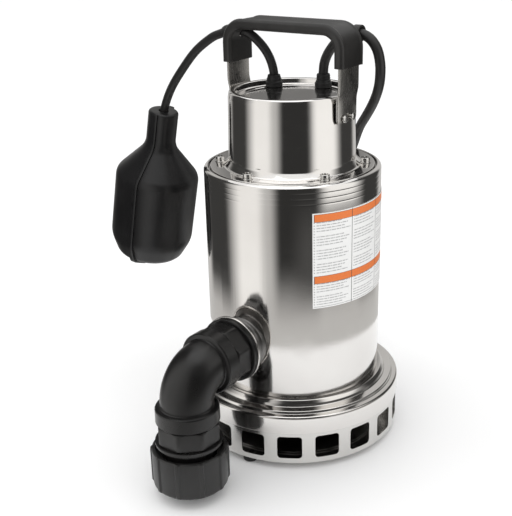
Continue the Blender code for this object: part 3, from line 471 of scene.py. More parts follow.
# ---------------------------------------------------------------- materials
class Graph:
    """A material's node tree with short calls for what every finish here uses."""

    def __init__(self, name):
        self.material = bpy.data.materials.new(name)
        self.material.use_nodes = True
        self.tree = self.material.node_tree
        self.shader = self.tree.nodes["Principled BSDF"]

    def node(self, kind, **values):
        made = self.tree.nodes.new(kind)
        for key, value in values.items():
            setattr(made, key, value)
        return made

    def link(self, output, target):
        self.tree.links.new(output, target)

    def noise(self, scale, detail=4.0, stretch=(1, 1, 1), roughness=0.55):
        """Noise in the piece's own coordinates, as a 0 to 1 factor; the scale is in ripples per metre."""
        place = self.node("ShaderNodeTexCoord")
        mapping = self.node("ShaderNodeMapping")
        mapping.inputs["Scale"].default_value = stretch
        texture = self.node("ShaderNodeTexNoise")
        texture.inputs["Scale"].default_value = scale
        texture.inputs["Detail"].default_value = detail
        texture.inputs["Roughness"].default_value = roughness
        self.link(place.outputs["Object"], mapping.inputs["Vector"])
        self.link(mapping.outputs["Vector"], texture.inputs["Vector"])
        return texture.outputs["Fac"]

    def ranged(self, factor, low, high, start=0.3, end=0.7):
        spread = self.node("ShaderNodeMapRange")
        spread.inputs["From Min"].default_value = start
        spread.inputs["From Max"].default_value = end
        spread.inputs["To Min"].default_value = low
        spread.inputs["To Max"].default_value = high
        self.link(factor, spread.inputs["Value"])
        return spread.outputs["Result"]

    def blended(self, factor, first, second):
        mix = self.node("ShaderNodeMix", data_type="RGBA")
        mix.inputs[6].default_value = (*first, 1.0)
        mix.inputs[7].default_value = (*second, 1.0)
        self.link(factor, mix.inputs[0])
        return mix.outputs[2]

    def bump(self, height, distance, strength=1.0, below=None):
        bump = self.node("ShaderNodeBump")
        bump.inputs["Distance"].default_value = distance
        bump.inputs["Strength"].default_value = strength
        self.link(height, bump.inputs["Height"])
        if below:
            self.link(below, bump.inputs["Normal"])
        return bump.outputs["Normal"]

    def combined(self, operation, first, second):
        both = self.node("ShaderNodeMath", operation=operation)
        self.link(first, both.inputs[0])
        self.link(second, both.inputs[1])
        return both.outputs["Value"]

    def worn_edges(self, amount):
        """A factor that is 1 on sharp convex edges, broken up by noise."""
        geometry = self.node("ShaderNodeNewGeometry")
        edge = self.ranged(geometry.outputs["Pointiness"], 0.0, amount, 0.52, 0.62)
        patchy = self.ranged(self.noise(160, 3), 0.2, 1.0, 0.4, 0.62)
        return self.combined("MULTIPLY", edge, patchy)


def steel(name, colour, dull, roughness, line_stretch, line_depth, smudges=0.06):
    """Stainless steel: lines one way, faint smudges and a slight warm tint that comes and goes."""
    graph = Graph(name)
    graph.shader.inputs["Metallic"].default_value = 1.0
    tint = graph.ranged(graph.noise(14, 3), 0.0, 1.0)
    graph.link(graph.blended(tint, colour, dull), graph.shader.inputs["Base Color"])
    lines = graph.noise(110, 3, line_stretch)
    handled = graph.ranged(graph.noise(38, 5), 0.0, smudges, 0.48, 0.72)
    streaks = graph.ranged(lines, roughness * 0.75, roughness * 1.25)
    graph.link(graph.combined("ADD", handled, streaks), graph.shader.inputs["Roughness"])
    graph.link(graph.bump(lines, line_depth), graph.shader.inputs["Normal"])
    return graph.material


def plastic(name, colour, worn, roughness, grain, grain_depth, wear=0.6, specular=0.5):
    """Moulded plastic or rubber: fine grain, broad flow marks, scuffed edges."""
    graph = Graph(name)
    graph.shader.inputs["Specular IOR Level"].default_value = specular
    flow = graph.ranged(graph.noise(26, 4), 0.0, 0.35)
    edges = graph.worn_edges(wear)
    scuffed = graph.combined("MAXIMUM", flow, edges)
    graph.link(graph.blended(scuffed, colour, worn), graph.shader.inputs["Base Color"])
    patch = graph.ranged(graph.noise(45, 5), roughness * 0.85, roughness * 1.15)
    graph.link(patch, graph.shader.inputs["Roughness"])
    fine = graph.bump(graph.noise(grain, 2), grain_depth)
    broad = graph.bump(graph.noise(30, 2), grain_depth * 2.5, 0.6, fine)
    graph.link(broad, graph.shader.inputs["Normal"])
    return graph.material


def dull_solid(name, colour, second, roughness, metallic, scale, depth, stretch=(1, 1, 1)):
    """Plain engineering finishes inside the pump: cast, wound, laminated or fired."""
    graph = Graph(name)
    graph.shader.inputs["Metallic"].default_value = metallic
    pattern = graph.noise(scale, 4, stretch)
    graph.link(
        graph.blended(graph.ranged(pattern, 0.0, 1.0), colour, second), graph.shader.inputs["Base Color"],
    )
    graph.link(graph.ranged(pattern, roughness * 0.8, roughness * 1.2), graph.shader.inputs["Roughness"])
    graph.link(graph.bump(pattern, depth), graph.shader.inputs["Normal"])
    return graph.material


def pale_floor():
    graph = Graph("pale_floor")
    graph.shader.inputs["Roughness"].default_value = 0.7
    graph.shader.inputs["Specular IOR Level"].default_value = 0.2
    shade = graph.ranged(graph.noise(3, 2), 0.0, 1.0)
    graph.link(
        graph.blended(shade, (0.93, 0.93, 0.93), (0.95, 0.95, 0.95)), graph.shader.inputs["Base Color"],
    )
    return graph.material


def printed(name, colour, second):
    """Printed or plain label film: satin, with a faint fibre."""
    graph = Graph(name)
    fibre = graph.noise(900, 3)
    graph.link(graph.blended(graph.ranged(fibre, 0, 1), colour, second), graph.shader.inputs["Base Color"])
    graph.link(graph.ranged(graph.noise(60, 3), 0.32, 0.45), graph.shader.inputs["Roughness"])
    graph.link(graph.bump(fibre, 0.00001), graph.shader.inputs["Normal"])
    return graph.material


POLISHED = steel("polished_stainless", (0.80, 0.785, 0.765), (0.74, 0.72, 0.70), 0.085, (1, 1, 26), 0.000010)
POLISHED_COVER = steel(
    "polished_cover", (0.80, 0.785, 0.765), (0.74, 0.72, 0.70), 0.085, (1, 1, 26), 0.000010,
)
POLISHED_BASE = steel("polished_base", (0.78, 0.765, 0.745), (0.72, 0.70, 0.68), 0.11, (1, 1, 26), 0.000010)
BRUSHED = steel("brushed_stainless", (0.74, 0.73, 0.71), (0.66, 0.65, 0.63), 0.13, (1, 1, 34), 0.000012)
STRAP_STEEL = steel(
    "strap_stainless", (0.60, 0.585, 0.56), (0.50, 0.485, 0.46), 0.24, (3, 14, 1), 0.000004, 0.1,
)
SCREW_STEEL = steel("screw_stainless", (0.70, 0.69, 0.67), (0.58, 0.57, 0.55), 0.20, (1, 1, 20), 0.000012)
# Stainless darkened far below real steel: painted shade, standing for the dark recess round the port's neck
# and for the hidden inner plate.
SHADE_DARKENED_STEEL = steel("shade_darkened_stainless", (0.30, 0.295, 0.29), (0.22, 0.215, 0.21), 0.38, (1, 1, 12), 0.00002)
ELBOW_PLASTIC = plastic(
    "elbow_plastic", (0.0055, 0.0053, 0.0053), (0.020, 0.019, 0.018), 0.30, 700, 0.000008, 0.35, 0.42,
)
NUT_PLASTIC = plastic(
    "nut_plastic", (0.0080, 0.0078, 0.0075), (0.026, 0.025, 0.024), 0.36, 700, 0.000010, 0.4, 0.42,
)
FLOAT_PLASTIC = plastic(
    "float_plastic", (0.0058, 0.0056, 0.0060), (0.020, 0.0195, 0.020), 0.34, 900, 0.000012, 0.4, 0.38,
)
GRIP_PLASTIC = plastic(
    "grip_plastic", (0.0125, 0.0118, 0.0110), (0.040, 0.038, 0.036), 0.42, 800, 0.000016, 0.4, 0.38,
)
RUBBER = plastic(
    "gland_rubber", (0.0080, 0.0080, 0.0080), (0.024, 0.0235, 0.023), 0.48, 900, 0.000014, 0.4, 0.36,
)
JACKET = plastic(
    "cord_jacket", (0.0105, 0.0100, 0.0100), (0.028, 0.027, 0.0265), 0.40, 1200, 0.000012, 0.3, 0.40,
)
LAMINATED = dull_solid(
    "laminated_iron", (0.20, 0.20, 0.21), (0.28, 0.28, 0.29), 0.45, 0.9, 120, 0.00004, (1, 1, 20),
)
COPPER = dull_solid(
    "enamelled_copper", (0.45, 0.17, 0.07), (0.62, 0.27, 0.11), 0.35, 0.6, 260, 0.0002, (1, 1, 3),
)
CERAMIC = dull_solid("seal_ceramic", (0.74, 0.71, 0.64), (0.82, 0.80, 0.74), 0.30, 0.0, 300, 0.00001)
CAN_PAINT = dull_solid("capacitor_can", (0.09, 0.10, 0.12), (0.13, 0.14, 0.16), 0.40, 0.2, 200, 0.00001)
PAPER = printed("label_paper", (0.80, 0.80, 0.79), (0.84, 0.84, 0.83))
ORANGE_INK = printed("label_orange", (0.74, 0.17, 0.030), (0.80, 0.21, 0.045))
BLACK_INK = printed("label_black", (0.030, 0.029, 0.028), (0.045, 0.044, 0.043))
GREY_INK = printed("label_grey", (0.40, 0.40, 0.40), (0.46, 0.46, 0.46))
BRASS = steel("plug_brass", (0.70, 0.55, 0.28), (0.60, 0.45, 0.22), 0.25, (20, 1, 1), 0.00001)


# ---------------------------------------------------------------- cords
def power_cord_route():
    """The chosen route, then the turns of the coil and the last bend over its top into the plug."""
    route = smooth_route(POWER_CORD, 0.004)[:-1]
    centre = COIL_CENTRE - PUMP_AXIS
    first = Vector(POWER_CORD[-1]) - centre
    entry_radius = math.hypot(first.x, first.y)
    entry = math.degrees(math.atan2(first.y, first.x))
    radius = CORD_DIAMETER / 2
    turns = []
    for step in range(int((COIL_END - entry) / 5) + 1):
        angle = entry + 5 * step
        place = ((entry_radius - COIL_MEAN_RADIUS) / CORD_DIAMETER, 0.0)
        out, up = place
        for begins, slot in COIL_SLOTS:
            share = eased((angle - begins) / COIL_MOVE)
            out += share * (slot[0] - place[0])
            up += share * (slot[1] - place[1])
            place = slot
        x, y = polar(COIL_MEAN_RADIUS + out * CORD_DIAMETER, angle)
        turns.append(Vector((centre.x + x, centre.y + y, radius + 0.0001 + up * CORD_DIAMETER)))
    return route + turns + plug_bend(centre, turns[-1].z)


def plug_frame():
    """Directions out from the coil's middle and along the plug, from where the last turn lifts off."""
    lift = math.degrees(math.atan2(PLUG_TAIL[1], PLUG_TAIL[0] - PLUG_ARC)) % 360
    outward = COIL_END - lift
    return Vector((*polar(1, outward), 0)), Vector((*polar(1, outward + 90), 0)), lift


def plug_bend(centre, height):
    out, along, lift = plug_frame()
    middle_out = PLUG_TAIL[0] - PLUG_ARC
    points = []
    for step in range(1, 25):
        share = step / 24
        angle = math.radians(lift + (360 - lift) * share)
        place = out * (middle_out + PLUG_ARC * math.cos(angle)) + along * (
            PLUG_TAIL[1] + PLUG_ARC * math.sin(angle)
        )
        rise = eased((share - 0.35) / 0.6) * (PLUG_AXIS_Z - height)
        points.append(Vector((centre.x, centre.y, height + rise)) + place)
    return points + [points[-1] + along * 0.005]


def add_power_cord(with_pieces):
    route = power_cord_route()
    curve = bpy.data.curves.new("power_cord_flex", "CURVE")
    curve.dimensions = "3D"
    curve.bevel_depth = CORD_DIAMETER / 2
    curve.bevel_resolution = 5
    curve.use_fill_caps = True
    spline = curve.splines.new("POLY")
    spline.points.add(len(route) - 1)
    for point, place in zip(spline.points, route):
        point.co = (*place, 1.0)
    curve.materials.append(JACKET)
    item = bpy.data.objects.new("power_cord_flex", curve)
    bpy.context.scene.collection.objects.link(item)
    item.location = PUMP_AXIS
    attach(item, "pump")
    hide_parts("power_cord", "power_cord_coil")


def tube_along(bm, route, radius, steps=20):
    """Rings round a route, turned as little as possible from one to the next."""
    side = Vector((0, 1, 0))
    rings = []
    for index, place in enumerate(route):
        before, after = route[max(0, index - 1)], route[min(len(route) - 1, index + 1)]
        ahead = (after - before).normalized()
        side = (side - ahead * side.dot(ahead)).normalized()
        up = ahead.cross(side)
        rings.append([place + side * x + up * y for x, y in circle(radius, steps)])
    lofted(bm, rings)


def add_float_cable():
    """One cable from its gland, through the handle and its bushing, down to the float."""
    route = smooth_route(FLOAT_CABLE, 0.003)
    bm = bmesh.new()
    tube_along(bm, route, CABLE_DIAMETER / 2)
    item = piece("float_cable", bm, JACKET, None)
    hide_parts("float_cable_fixed", "float_cable_free")
    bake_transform(item)


# ---------------------------------------------------------------- base and pump end
def add_strainer():
    radius = STRAINER_RADIUS
    corners = [
        (0.082, STRAINER_BOTTOM), (radius, STRAINER_BOTTOM, 0.0016), (radius, STRAINER_TOP, 0.0006),
        (radius - 0.0012, STRAINER_TOP), (radius - 0.0014, STRAINER_BOTTOM + 0.0014, 0.0010),
        (0.082, STRAINER_BOTTOM + 0.0014),
    ]
    item = turned("strainer", corners, BRUSHED, "pump", WINDOW_COUNT * 12)
    low, high = WINDOW_HEIGHTS
    outline = rounded_rectangle(WINDOW_WIDTH, high - low, WINDOW_CORNER)
    bm = bmesh.new()
    for index in range(WINDOW_COUNT):
        turn = Matrix.Rotation(math.radians(WINDOW_PHASE + 360 * index / WINDOW_COUNT), 3, "Z")
        rings = []
        for depth in (0.0925, 0.108):
            rings.append([turn @ Vector((depth, x, (low + high) / 2 + z)) for x, z in outline])
        lofted(bm, rings)
    carve(item, piece("window_cutter", bm, BRUSHED, None))
    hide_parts("strainer_ring")


def add_feet():
    for number in (1, 2, 3):
        node = f"foot_{number}"
        low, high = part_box(node)
        radius = (high.x - low.x) / 2
        top = STRAINER_BOTTOM - 0.0003
        corners = [
            (0, 0.0012), (radius * 0.55, 0.0012, 0.0006), (radius * 0.62, 0, 0.0004),
            (radius - 0.0002, 0, 0.0012),
            (radius - 0.0005, top, 0.0012), (0.0030, top), (0.0030, 0.0078), (0.0045, 0.0078, 0.0006),
            (0, 0.0094),
        ]
        centre = (low + high) / 2
        turned(
            f"rubber_{node}", corners, RUBBER, "pump", 64, replaces=node, slot="soft_rubber",
            at=Vector((centre.x, centre.y, 0)),
        )


def add_base():
    radius = BASE_RADIUS
    corners = [
        (radius, BASE_BOTTOM, 0.0005), (radius, 0.0552, 0.0024), (0.0972, 0.0562, 0.0008),
        (0.0962, 0.0584, 0.0012),
        (0.0898, 0.0594, 0.0010), (0.0886, 0.0616, 0.0012), (0.0862, BASE_TOP, 0.0014),
        (0.0802, BASE_TOP, 0.0004),
        (0.0802, BASE_TOP - 0.0014), (0.0850, BASE_TOP - 0.0014, 0.0010), (0.0874, 0.0584, 0.0010),
        (0.0950, 0.0572, 0.0010), (0.0960, 0.0550, 0.0008), (radius - 0.0012, 0.0540, 0.0014),
        (radius - 0.0012, BASE_BOTTOM, 0.0005),
    ]
    turned("base", corners, POLISHED_BASE, "pump", replaces="base_cover", slot="polished_steel")


# ---------------------------------------------------------------- shell, cover and its screws
def add_shell():
    radius = SHELL_RADIUS
    groove = 0.00012
    corners = [(radius, SHELL_BOTTOM, 0.0004)]
    for level in (0.2512, 0.2562, 0.2612):
        corners += [
            (radius, level - 0.0009, 0.0008), (radius - groove, level, 0.0008),
            (radius, level + 0.0009, 0.0008),
        ]
    corners += [
        (radius, 0.2662, 0.0032), (radius - 0.0034, SHELL_TOP, 0.0010), (0.0781, SHELL_TOP, 0.0006),
        (0.0779, 0.2653, 0.0006), (0.0600, 0.2653), (0.0600, 0.2639), (0.0786, 0.2639, 0.0010),
        (radius - 0.0012, 0.2620, 0.0020), (radius - 0.0012, SHELL_BOTTOM, 0.0004),
    ]
    item = turned("shell", corners, POLISHED, "pump", replaces="outer_shell", slot="polished_steel")
    bm = bmesh.new()
    hole = circle(0.0253, 96)
    lofted(bm, [[(x, y, PORT_HEIGHT + z) for x, z in hole] for y in (-0.095, -0.060)])
    carve(item, piece("port_cutter", bm, POLISHED, None))
    item.data.set_sharp_from_angle(angle=math.radians(28))


def add_cover():
    rim = 0.0538
    corners = [
        (COVER_FLANGE - 0.0006, 0.2665), (COVER_FLANGE - 0.0006, 0.2681, 0.0007), (0.0632, 0.2681, 0.0030),
        (0.0590, 0.2740, 0.0040),
        (0.0577, 0.3310, 0.0040), (0.0566, COVER_TOP, 0.0022), (rim, COVER_TOP, 0.0010),
        (0.0515, COVER_TOP, 0.0012),
        (0.0505, DISH_FLOOR, 0.0012), (0.0430, DISH_FLOOR + 0.0003, 0.0010),
        (0.0420, DISH_FLOOR - 0.0002, 0.0010),
        (0, DISH_FLOOR), (0, DISH_FLOOR - 0.0012), (0.0516, DISH_FLOOR - 0.0012, 0.0008),
        (rim, COVER_TOP - 0.0014, 0.0012), (0.0553, COVER_TOP - 0.0014, 0.0010), (0.0563, 0.3310, 0.0020),
        (0.0574, 0.2750, 0.0020), (0.0574, 0.2665),
    ]
    turned("cover", corners, POLISHED_COVER, "pump", replaces="top_cover", slot="polished_steel")


def add_cover_screws():
    for number in range(1, SCREWS + 1):
        node = f"cover_screw_{number}"
        low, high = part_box(node)
        radius = (high.x - low.x) / 2
        seat, top = SHELL_TOP + 0.0003, high.z
        bm = bmesh.new()
        corners = [
            (0, low.z), (0.0023, low.z, 0.0004), (0.0023, seat), (radius, seat, 0.0003),
            (radius, top, 0.0007),
            (0.0027, top, 0.0003), (0.0024, top - 0.0005), (0.0024, top - 0.0030), (0, top - 0.0034),
        ]
        lathe(bm, filleted(corners, 4), 48)
        place = (low + high) / 2
        item = piece(
            f"socket_screw_{number}", bm, SCREW_STEEL, "pump", replaces=node, slot="machined_steel",
            at=Vector((place.x, place.y, 0)),
        )
        cutter = bmesh.new()
        hexagon = circle(0.00288, 6, number * 0.7)
        lofted(cutter, [[(x, y, z) for x, y in hexagon] for z in (top - 0.0028, top + 0.001)])
        carve(item, piece("socket_cutter", cutter, SCREW_STEEL, None, at=item.location))
        washer = bmesh.new()
        rim = [
            (0.0025, seat - 0.0001), (0.0049, seat - 0.0001, 0.0002), (0.0049, seat + 0.0007, 0.0003),
            (0.0025, seat + 0.0007),
        ]
        lathe(washer, filleted(rim, 3), 48)
        piece(f"washer_{number}", washer, SCREW_STEEL, "pump", slot="machined_steel", at=item.location)


# ---------------------------------------------------------------- discharge, elbow and nut
def add_port():
    """The spigot's neck and the bright ring the elbow is screwed against, both laid along -Y."""
    neck = [
        (0.0205, 0.0760), (0.0250, 0.0760), (0.0250, 0.0832, 0.0010), (0.0226, 0.0846, 0.0010),
        (0.0226, 0.0950, 0.0016), (0.0290, 0.0958, 0.0008), (0.0290, 0.0976), (0.0205, 0.0976, 0.0004),
    ]
    ring = [
        (0.0291, 0.0956, 0.0003), (0.0308, 0.0956, 0.0006), (0.0308, 0.0976, 0.0007),
        (0.0291, 0.0976, 0.0003),
    ]
    place = {
        "at": PUMP_AXIS + Vector((0, 0, PORT_HEIGHT)), "turn": Matrix.Rotation(math.radians(90), 4, "X"),
        "slot": "machined_steel",
    }
    # The neck takes the darkened stainless: painted shade where it sits back inside the shell's port hole.
    turned("port_neck", neck, SHADE_DARKENED_STEEL, "pump", 128, replaces="discharge_port", **place)
    turned("port_ring", ring, POLISHED_BASE, "pump", 128, **place)


def section_radius(radius, angle, flats):
    """Radius of a section: round, or an octagon of the given half width over flats trimmed to the radius."""
    if not flats:
        return radius
    part = math.pi / 4
    off = (angle + part / 2) % part - part / 2
    return min(flats / math.cos(off), radius)


def elbow_place(distance, straight):
    """Point and in-plane normal along the elbow's centre line, from its pivot, in the YZ plane."""
    arc = ELBOW_BEND * math.pi / 2
    if distance <= straight:
        return Vector((0, -distance, 0)), Vector((0, 0, 1))
    if distance <= straight + arc:
        angle = (distance - straight) / ELBOW_BEND
        normal = Vector((0, -math.sin(angle), math.cos(angle)))
        return Vector((0, -straight, -ELBOW_BEND)) + normal * ELBOW_BEND, normal
    return Vector((0, -straight - ELBOW_BEND, straight + arc - distance - ELBOW_BEND)), Vector((0, -1, 0))


def fitting_stations():
    """(distance, radius, half width over flats) for one end of the elbow, from flange to tube."""
    flange, octagon, collar = 0.0030, 0.0210, 0.0360
    flats, corners = 0.0266, 0.0288
    chamfer = [(0.0, 0.0), (0.0006, 0.0010), (0.0014, 0.0018), (0.0026, 0.0024)]
    stations = [
        (0.0, ELBOW_FLANGE - 0.0005, 0), (0.0004, ELBOW_FLANGE, 0), (flange - 0.0004, ELBOW_FLANGE, 0),
        (flange, ELBOW_FLANGE - 0.0006, 0),
    ]
    stations += [(flange + 0.0001 + along, corners - 0.0024 + out, flats) for along, out in chamfer]
    stations += [(octagon - along, corners - 0.0024 + out, flats) for along, out in chamfer[::-1]]
    return stations + [
        (octagon + 0.0002, flats - 0.0004, 0), (octagon + 0.0006, flats - 0.0004, 0),
        (octagon + 0.0008, ELBOW_COLLAR - 0.0008, 0), (octagon + 0.0016, ELBOW_COLLAR, 0),
        (collar - 0.0016, ELBOW_COLLAR - 0.0002, 0), (collar - 0.0006, ELBOW_COLLAR - 0.0009, 0),
        (collar, ELBOW_COLLAR - 0.0024, 0), (collar + 0.0003, ELBOW_TUBE + 0.0006, 0),
        (collar + 0.0012, ELBOW_TUBE, 0),
    ]


def add_elbow():
    straight = ELBOW_PIVOT.y - LEG_AXIS.y - ELBOW_BEND
    arc = ELBOW_BEND * math.pi / 2
    length = straight + arc + ELBOW_PIVOT.z - ELBOW_BEND - LEG_BOTTOM
    half = fitting_stations()
    bend = [(straight + arc * step / 24, ELBOW_TUBE, 0) for step in range(25)]
    stations = half + bend + [(length - distance, radius, sides) for distance, radius, sides in half[::-1]]
    bores = [0.0] + [distance for distance, _, _ in bend] + [length]
    angles = [2 * math.pi * step / 96 for step in range(96)]
    outer, inner = [], []
    for distance, radius, sides in stations:
        point, normal = elbow_place(distance, straight)
        spokes = [Vector((math.cos(a), 0, 0)) + normal * math.sin(a) for a in angles]
        outer.append([point + spoke * section_radius(radius, a, sides) for spoke, a in zip(spokes, angles)])
    for distance in bores:
        point, normal = elbow_place(distance, straight)
        inner.append(
            [point + (Vector((math.cos(a), 0, 0)) + normal * math.sin(a)) * ELBOW_BORE for a in angles]
        )
    bm = bmesh.new()
    pipe(bm, outer, inner)
    piece(
        "elbow_moulding", bm, ELBOW_PLASTIC, "elbow", replaces="elbow", slot="moulded_plastic",
        at=ELBOW_PIVOT, sharp=28,
    )


def add_nut():
    count = NUT_RIBS * 16
    levels = [
        (NUT_BOTTOM, NUT_RADIUS - 0.0026), (NUT_BOTTOM + 0.0006, NUT_RADIUS - 0.0014),
        (NUT_BOTTOM + 0.0020, NUT_RADIUS - 0.0003), (NUT_BOTTOM + 0.0036, NUT_RADIUS),
        (NUT_TOP - 0.0034, NUT_RADIUS), (NUT_TOP - 0.0010, NUT_RADIUS - 0.0002),
        (NUT_TOP, NUT_RADIUS - 0.0012),
    ]
    rings = []
    for level, radius in levels:
        ring = []
        for step in range(count):
            angle = 2 * math.pi * step / count
            beside = abs((step + 6) % 16 - 8) / 8
            proud = NUT_RIB * (1 - eased((beside - 0.10) / 0.12))
            low_end = eased((level - NUT_BOTTOM) / 0.003)
            reach = radius + proud * low_end
            ring.append((reach * math.cos(angle), reach * math.sin(angle), level))
        rings.append(ring)
    inside = [
        (NUT_BOTTOM, 0.0252), (NUT_BOTTOM + 0.0006, 0.0246), (NUT_TOP - 0.0070, 0.0246),
        (NUT_TOP - 0.0070, 0.0305),
        (NUT_TOP, 0.0305),
    ]
    bores = [[(radius * x, radius * y, level) for x, y in circle(1.0, count)] for level, radius in inside]
    bm = bmesh.new()
    pipe(bm, rings, bores)
    piece(
        "nut", bm, NUT_PLASTIC, "nut", replaces="union_nut", slot="moulded_plastic",
        at=Vector((LEG_AXIS.x, LEG_AXIS.y, 0)), sharp=32,
    )


# ---------------------------------------------------------------- handle
def handle_path(left_bottom, right_bottom, steps=14):
    """Points and outward normals up the left leg, over the top and down the right leg, in the XZ plane."""
    path = []
    for step in range(steps):
        height = left_bottom + (STRAP_TOP - BEND_RADIUS - left_bottom) * step / steps
        path.append((Vector((-STRAP_X, 0, height)), Vector((-1, 0, 0))))
    for side in (-1, 1):
        for step in range(steps + 1):
            share = step / steps if side < 0 else 1 - step / steps
            normal = Vector((side * math.cos(math.pi / 2 * share), 0, math.sin(math.pi / 2 * share)))
            centre = Vector((side * (STRAP_X - BEND_RADIUS), 0, STRAP_TOP - BEND_RADIUS))
            path.append((centre + normal * BEND_RADIUS, normal))
    for step in range(1, steps + 1):
        height = STRAP_TOP - BEND_RADIUS - (STRAP_TOP - BEND_RADIUS - right_bottom) * step / steps
        path.append((Vector((STRAP_X, 0, height)), Vector((1, 0, 0))))
    return path


def cable_hole(radius):
    """Cutter for the float cable's way through the handle's left shoulder."""
    bm = bmesh.new()
    direction = Vector((-0.040, 0, -0.005)).normalized()
    side = Vector((0, 1, 0))
    up = direction.cross(side)
    rings = []
    for reach in (-0.022, 0.022):
        centre = Vector((-0.058, 0, 0.3842)) + direction * reach
        rings.append([centre + side * x + up * y for x, y in circle(radius, 48)])
    lofted(bm, rings)
    return piece("cable_hole", bm, GRIP_PLASTIC, None)


def add_strap():
    across = [(y, face) for y, face in filleted_strip(STRAP_WIDTH, STRAP_SHEET, 0.0008)]
    rings = []
    for point, normal in handle_path(STRAP_BOTTOM, STRAP_BOTTOM, 20):
        wrap = eased((0.343 - point.z) / 0.012)
        narrow = 1 - 0.10 * (1 - eased((point.z - STRAP_BOTTOM) / 0.004))
        ring = []
        for y, out in across:
            sagitta = STRAP_X - math.sqrt(STRAP_X**2 - y**2)
            ring.append(point + normal * (out - wrap * sagitta) + Vector((0, y * narrow, 0)))
        rings.append(ring)
    bm = bmesh.new()
    lofted(bm, rings)
    item = piece("strap", bm, STRAP_STEEL, "pump", replaces="handle_strap", slot="brushed_steel")
    carve(item, cable_hole(0.0058))


def filleted_strip(width, thickness, corner):
    """A thin strip's section with many points along its faces, so that it can be bent round the wall."""
    outline = []
    edge = rounded_rectangle(width, thickness, corner, 3)
    half = len(edge) // 2
    for first, second in ((edge[0:half], edge[half:]), (edge[half:], edge[0:half])):
        outline += first
        if abs(first[-1][0] - second[0][0]) > width / 2:
            for step in range(1, 12):
                share = step / 12
                x = first[-1][0] + (second[0][0] - first[-1][0]) * share
                outline.append((x, first[-1][1]))
    return outline


def add_grip():
    corner = 0.0036
    outline = rounded_rectangle(GRIP_WIDTH, GRIP_DEPTH - 0.0006, corner, 6)
    lipped = []
    for y, out in outline:
        lip = eased((abs(y) - GRIP_WIDTH / 2 + 0.0044) / 0.0012) * (1 if out > 0 else 0)
        lipped.append((y, out - 0.0003 + 0.0006 * lip))
    section = []
    for index, place in enumerate(lipped):
        section.append(place)
        after = lipped[(index + 1) % len(lipped)]
        if abs(after[0] - place[0]) > GRIP_WIDTH / 3:
            count = 28
            for step in range(1, count):
                y = place[0] + (after[0] - place[0]) * step / count
                level = place[1]
                raised = eased((abs(y) - GRIP_WIDTH / 2 + 0.0050) / 0.0010) if level > 0 else 1.0
                section.append((y, level - 0.0006 * (1 - raised)))
    channel = rounded_rectangle(0.0323, 0.0028, 0.0004, 3)
    outer, inner = [], []
    for point, normal in handle_path(GRIP_ENDS[0], GRIP_ENDS[1]):
        outer.append([point + Vector((0, y, 0)) + normal * out for y, out in section])
        inner.append([point + Vector((0, y, 0)) + normal * out for y, out in channel])
    bm = bmesh.new()
    outside = lofted(bm, outer, caps=False)
    inside = lofted(bm, inner, caps=False)
    for end in (0, -1):
        edges = []
        for ring in (outside[end], inside[end]):
            edges += [
                bm.edges.get((ring[index], ring[(index + 1) % len(ring)])) for index in range(len(ring))
            ]
        bmesh.ops.triangle_fill(bm, use_beauty=True, edges=edges)
    item = piece("grip", bm, GRIP_PLASTIC, "pump", replaces="handle_grip", slot="moulded_plastic")
    carve(item, cable_hole(0.0056))
    item.data.materials.clear()
    item.data.materials.append(GRIP_PLASTIC)
    sleeve = bmesh.new()
    y, z = CLIP_CENTRE
    profile = filleted(
        [(0.0052, 0.0520), (0.0074, 0.0520, 0.0006), (0.0074, 0.0590, 0.0006), (0.0052, 0.0590, 0.0003)], 4
    )
    lathe(sleeve, profile, 64)
    piece(
        "cord_sleeve", sleeve, GRIP_PLASTIC, "pump", slot="moulded_plastic",
        at=PUMP_AXIS + Vector((0, y, z)), turn=Matrix.Rotation(math.radians(90), 4, "Y"),
    )


def add_rivets():
    for number in range(1, RIVETS + 1):
        node = f"handle_rivet_{number}"
        place = middle(node) - PUMP_AXIS
        facing = math.degrees(math.atan2(place.y, place.x))
        head = STRAP_SHEET / 2 + 0.0002
        corners = [
            (0, -0.0052), (0.0030, -0.0052, 0.0005), (0.0030, -0.0042), (0.0018, -0.0042), (0.0018, head),
            (0.0034, head, 0.0002), (0.0032, head + 0.0008, 0.0006), (0.0022, head + 0.0015, 0.0010),
            (0, head + 0.0017),
        ]
        x, y = polar(STRAP_X, facing)
        turn = Matrix.Rotation(math.radians(facing), 4, "Z") @ Matrix.Rotation(math.radians(90), 4, "Y")
        turned(
            f"rivet_{number}", corners, SCREW_STEEL, "pump", 40, replaces=node, slot="machined_steel",
            at=PUMP_AXIS + Vector((x, y, place.z)), turn=turn,
        )


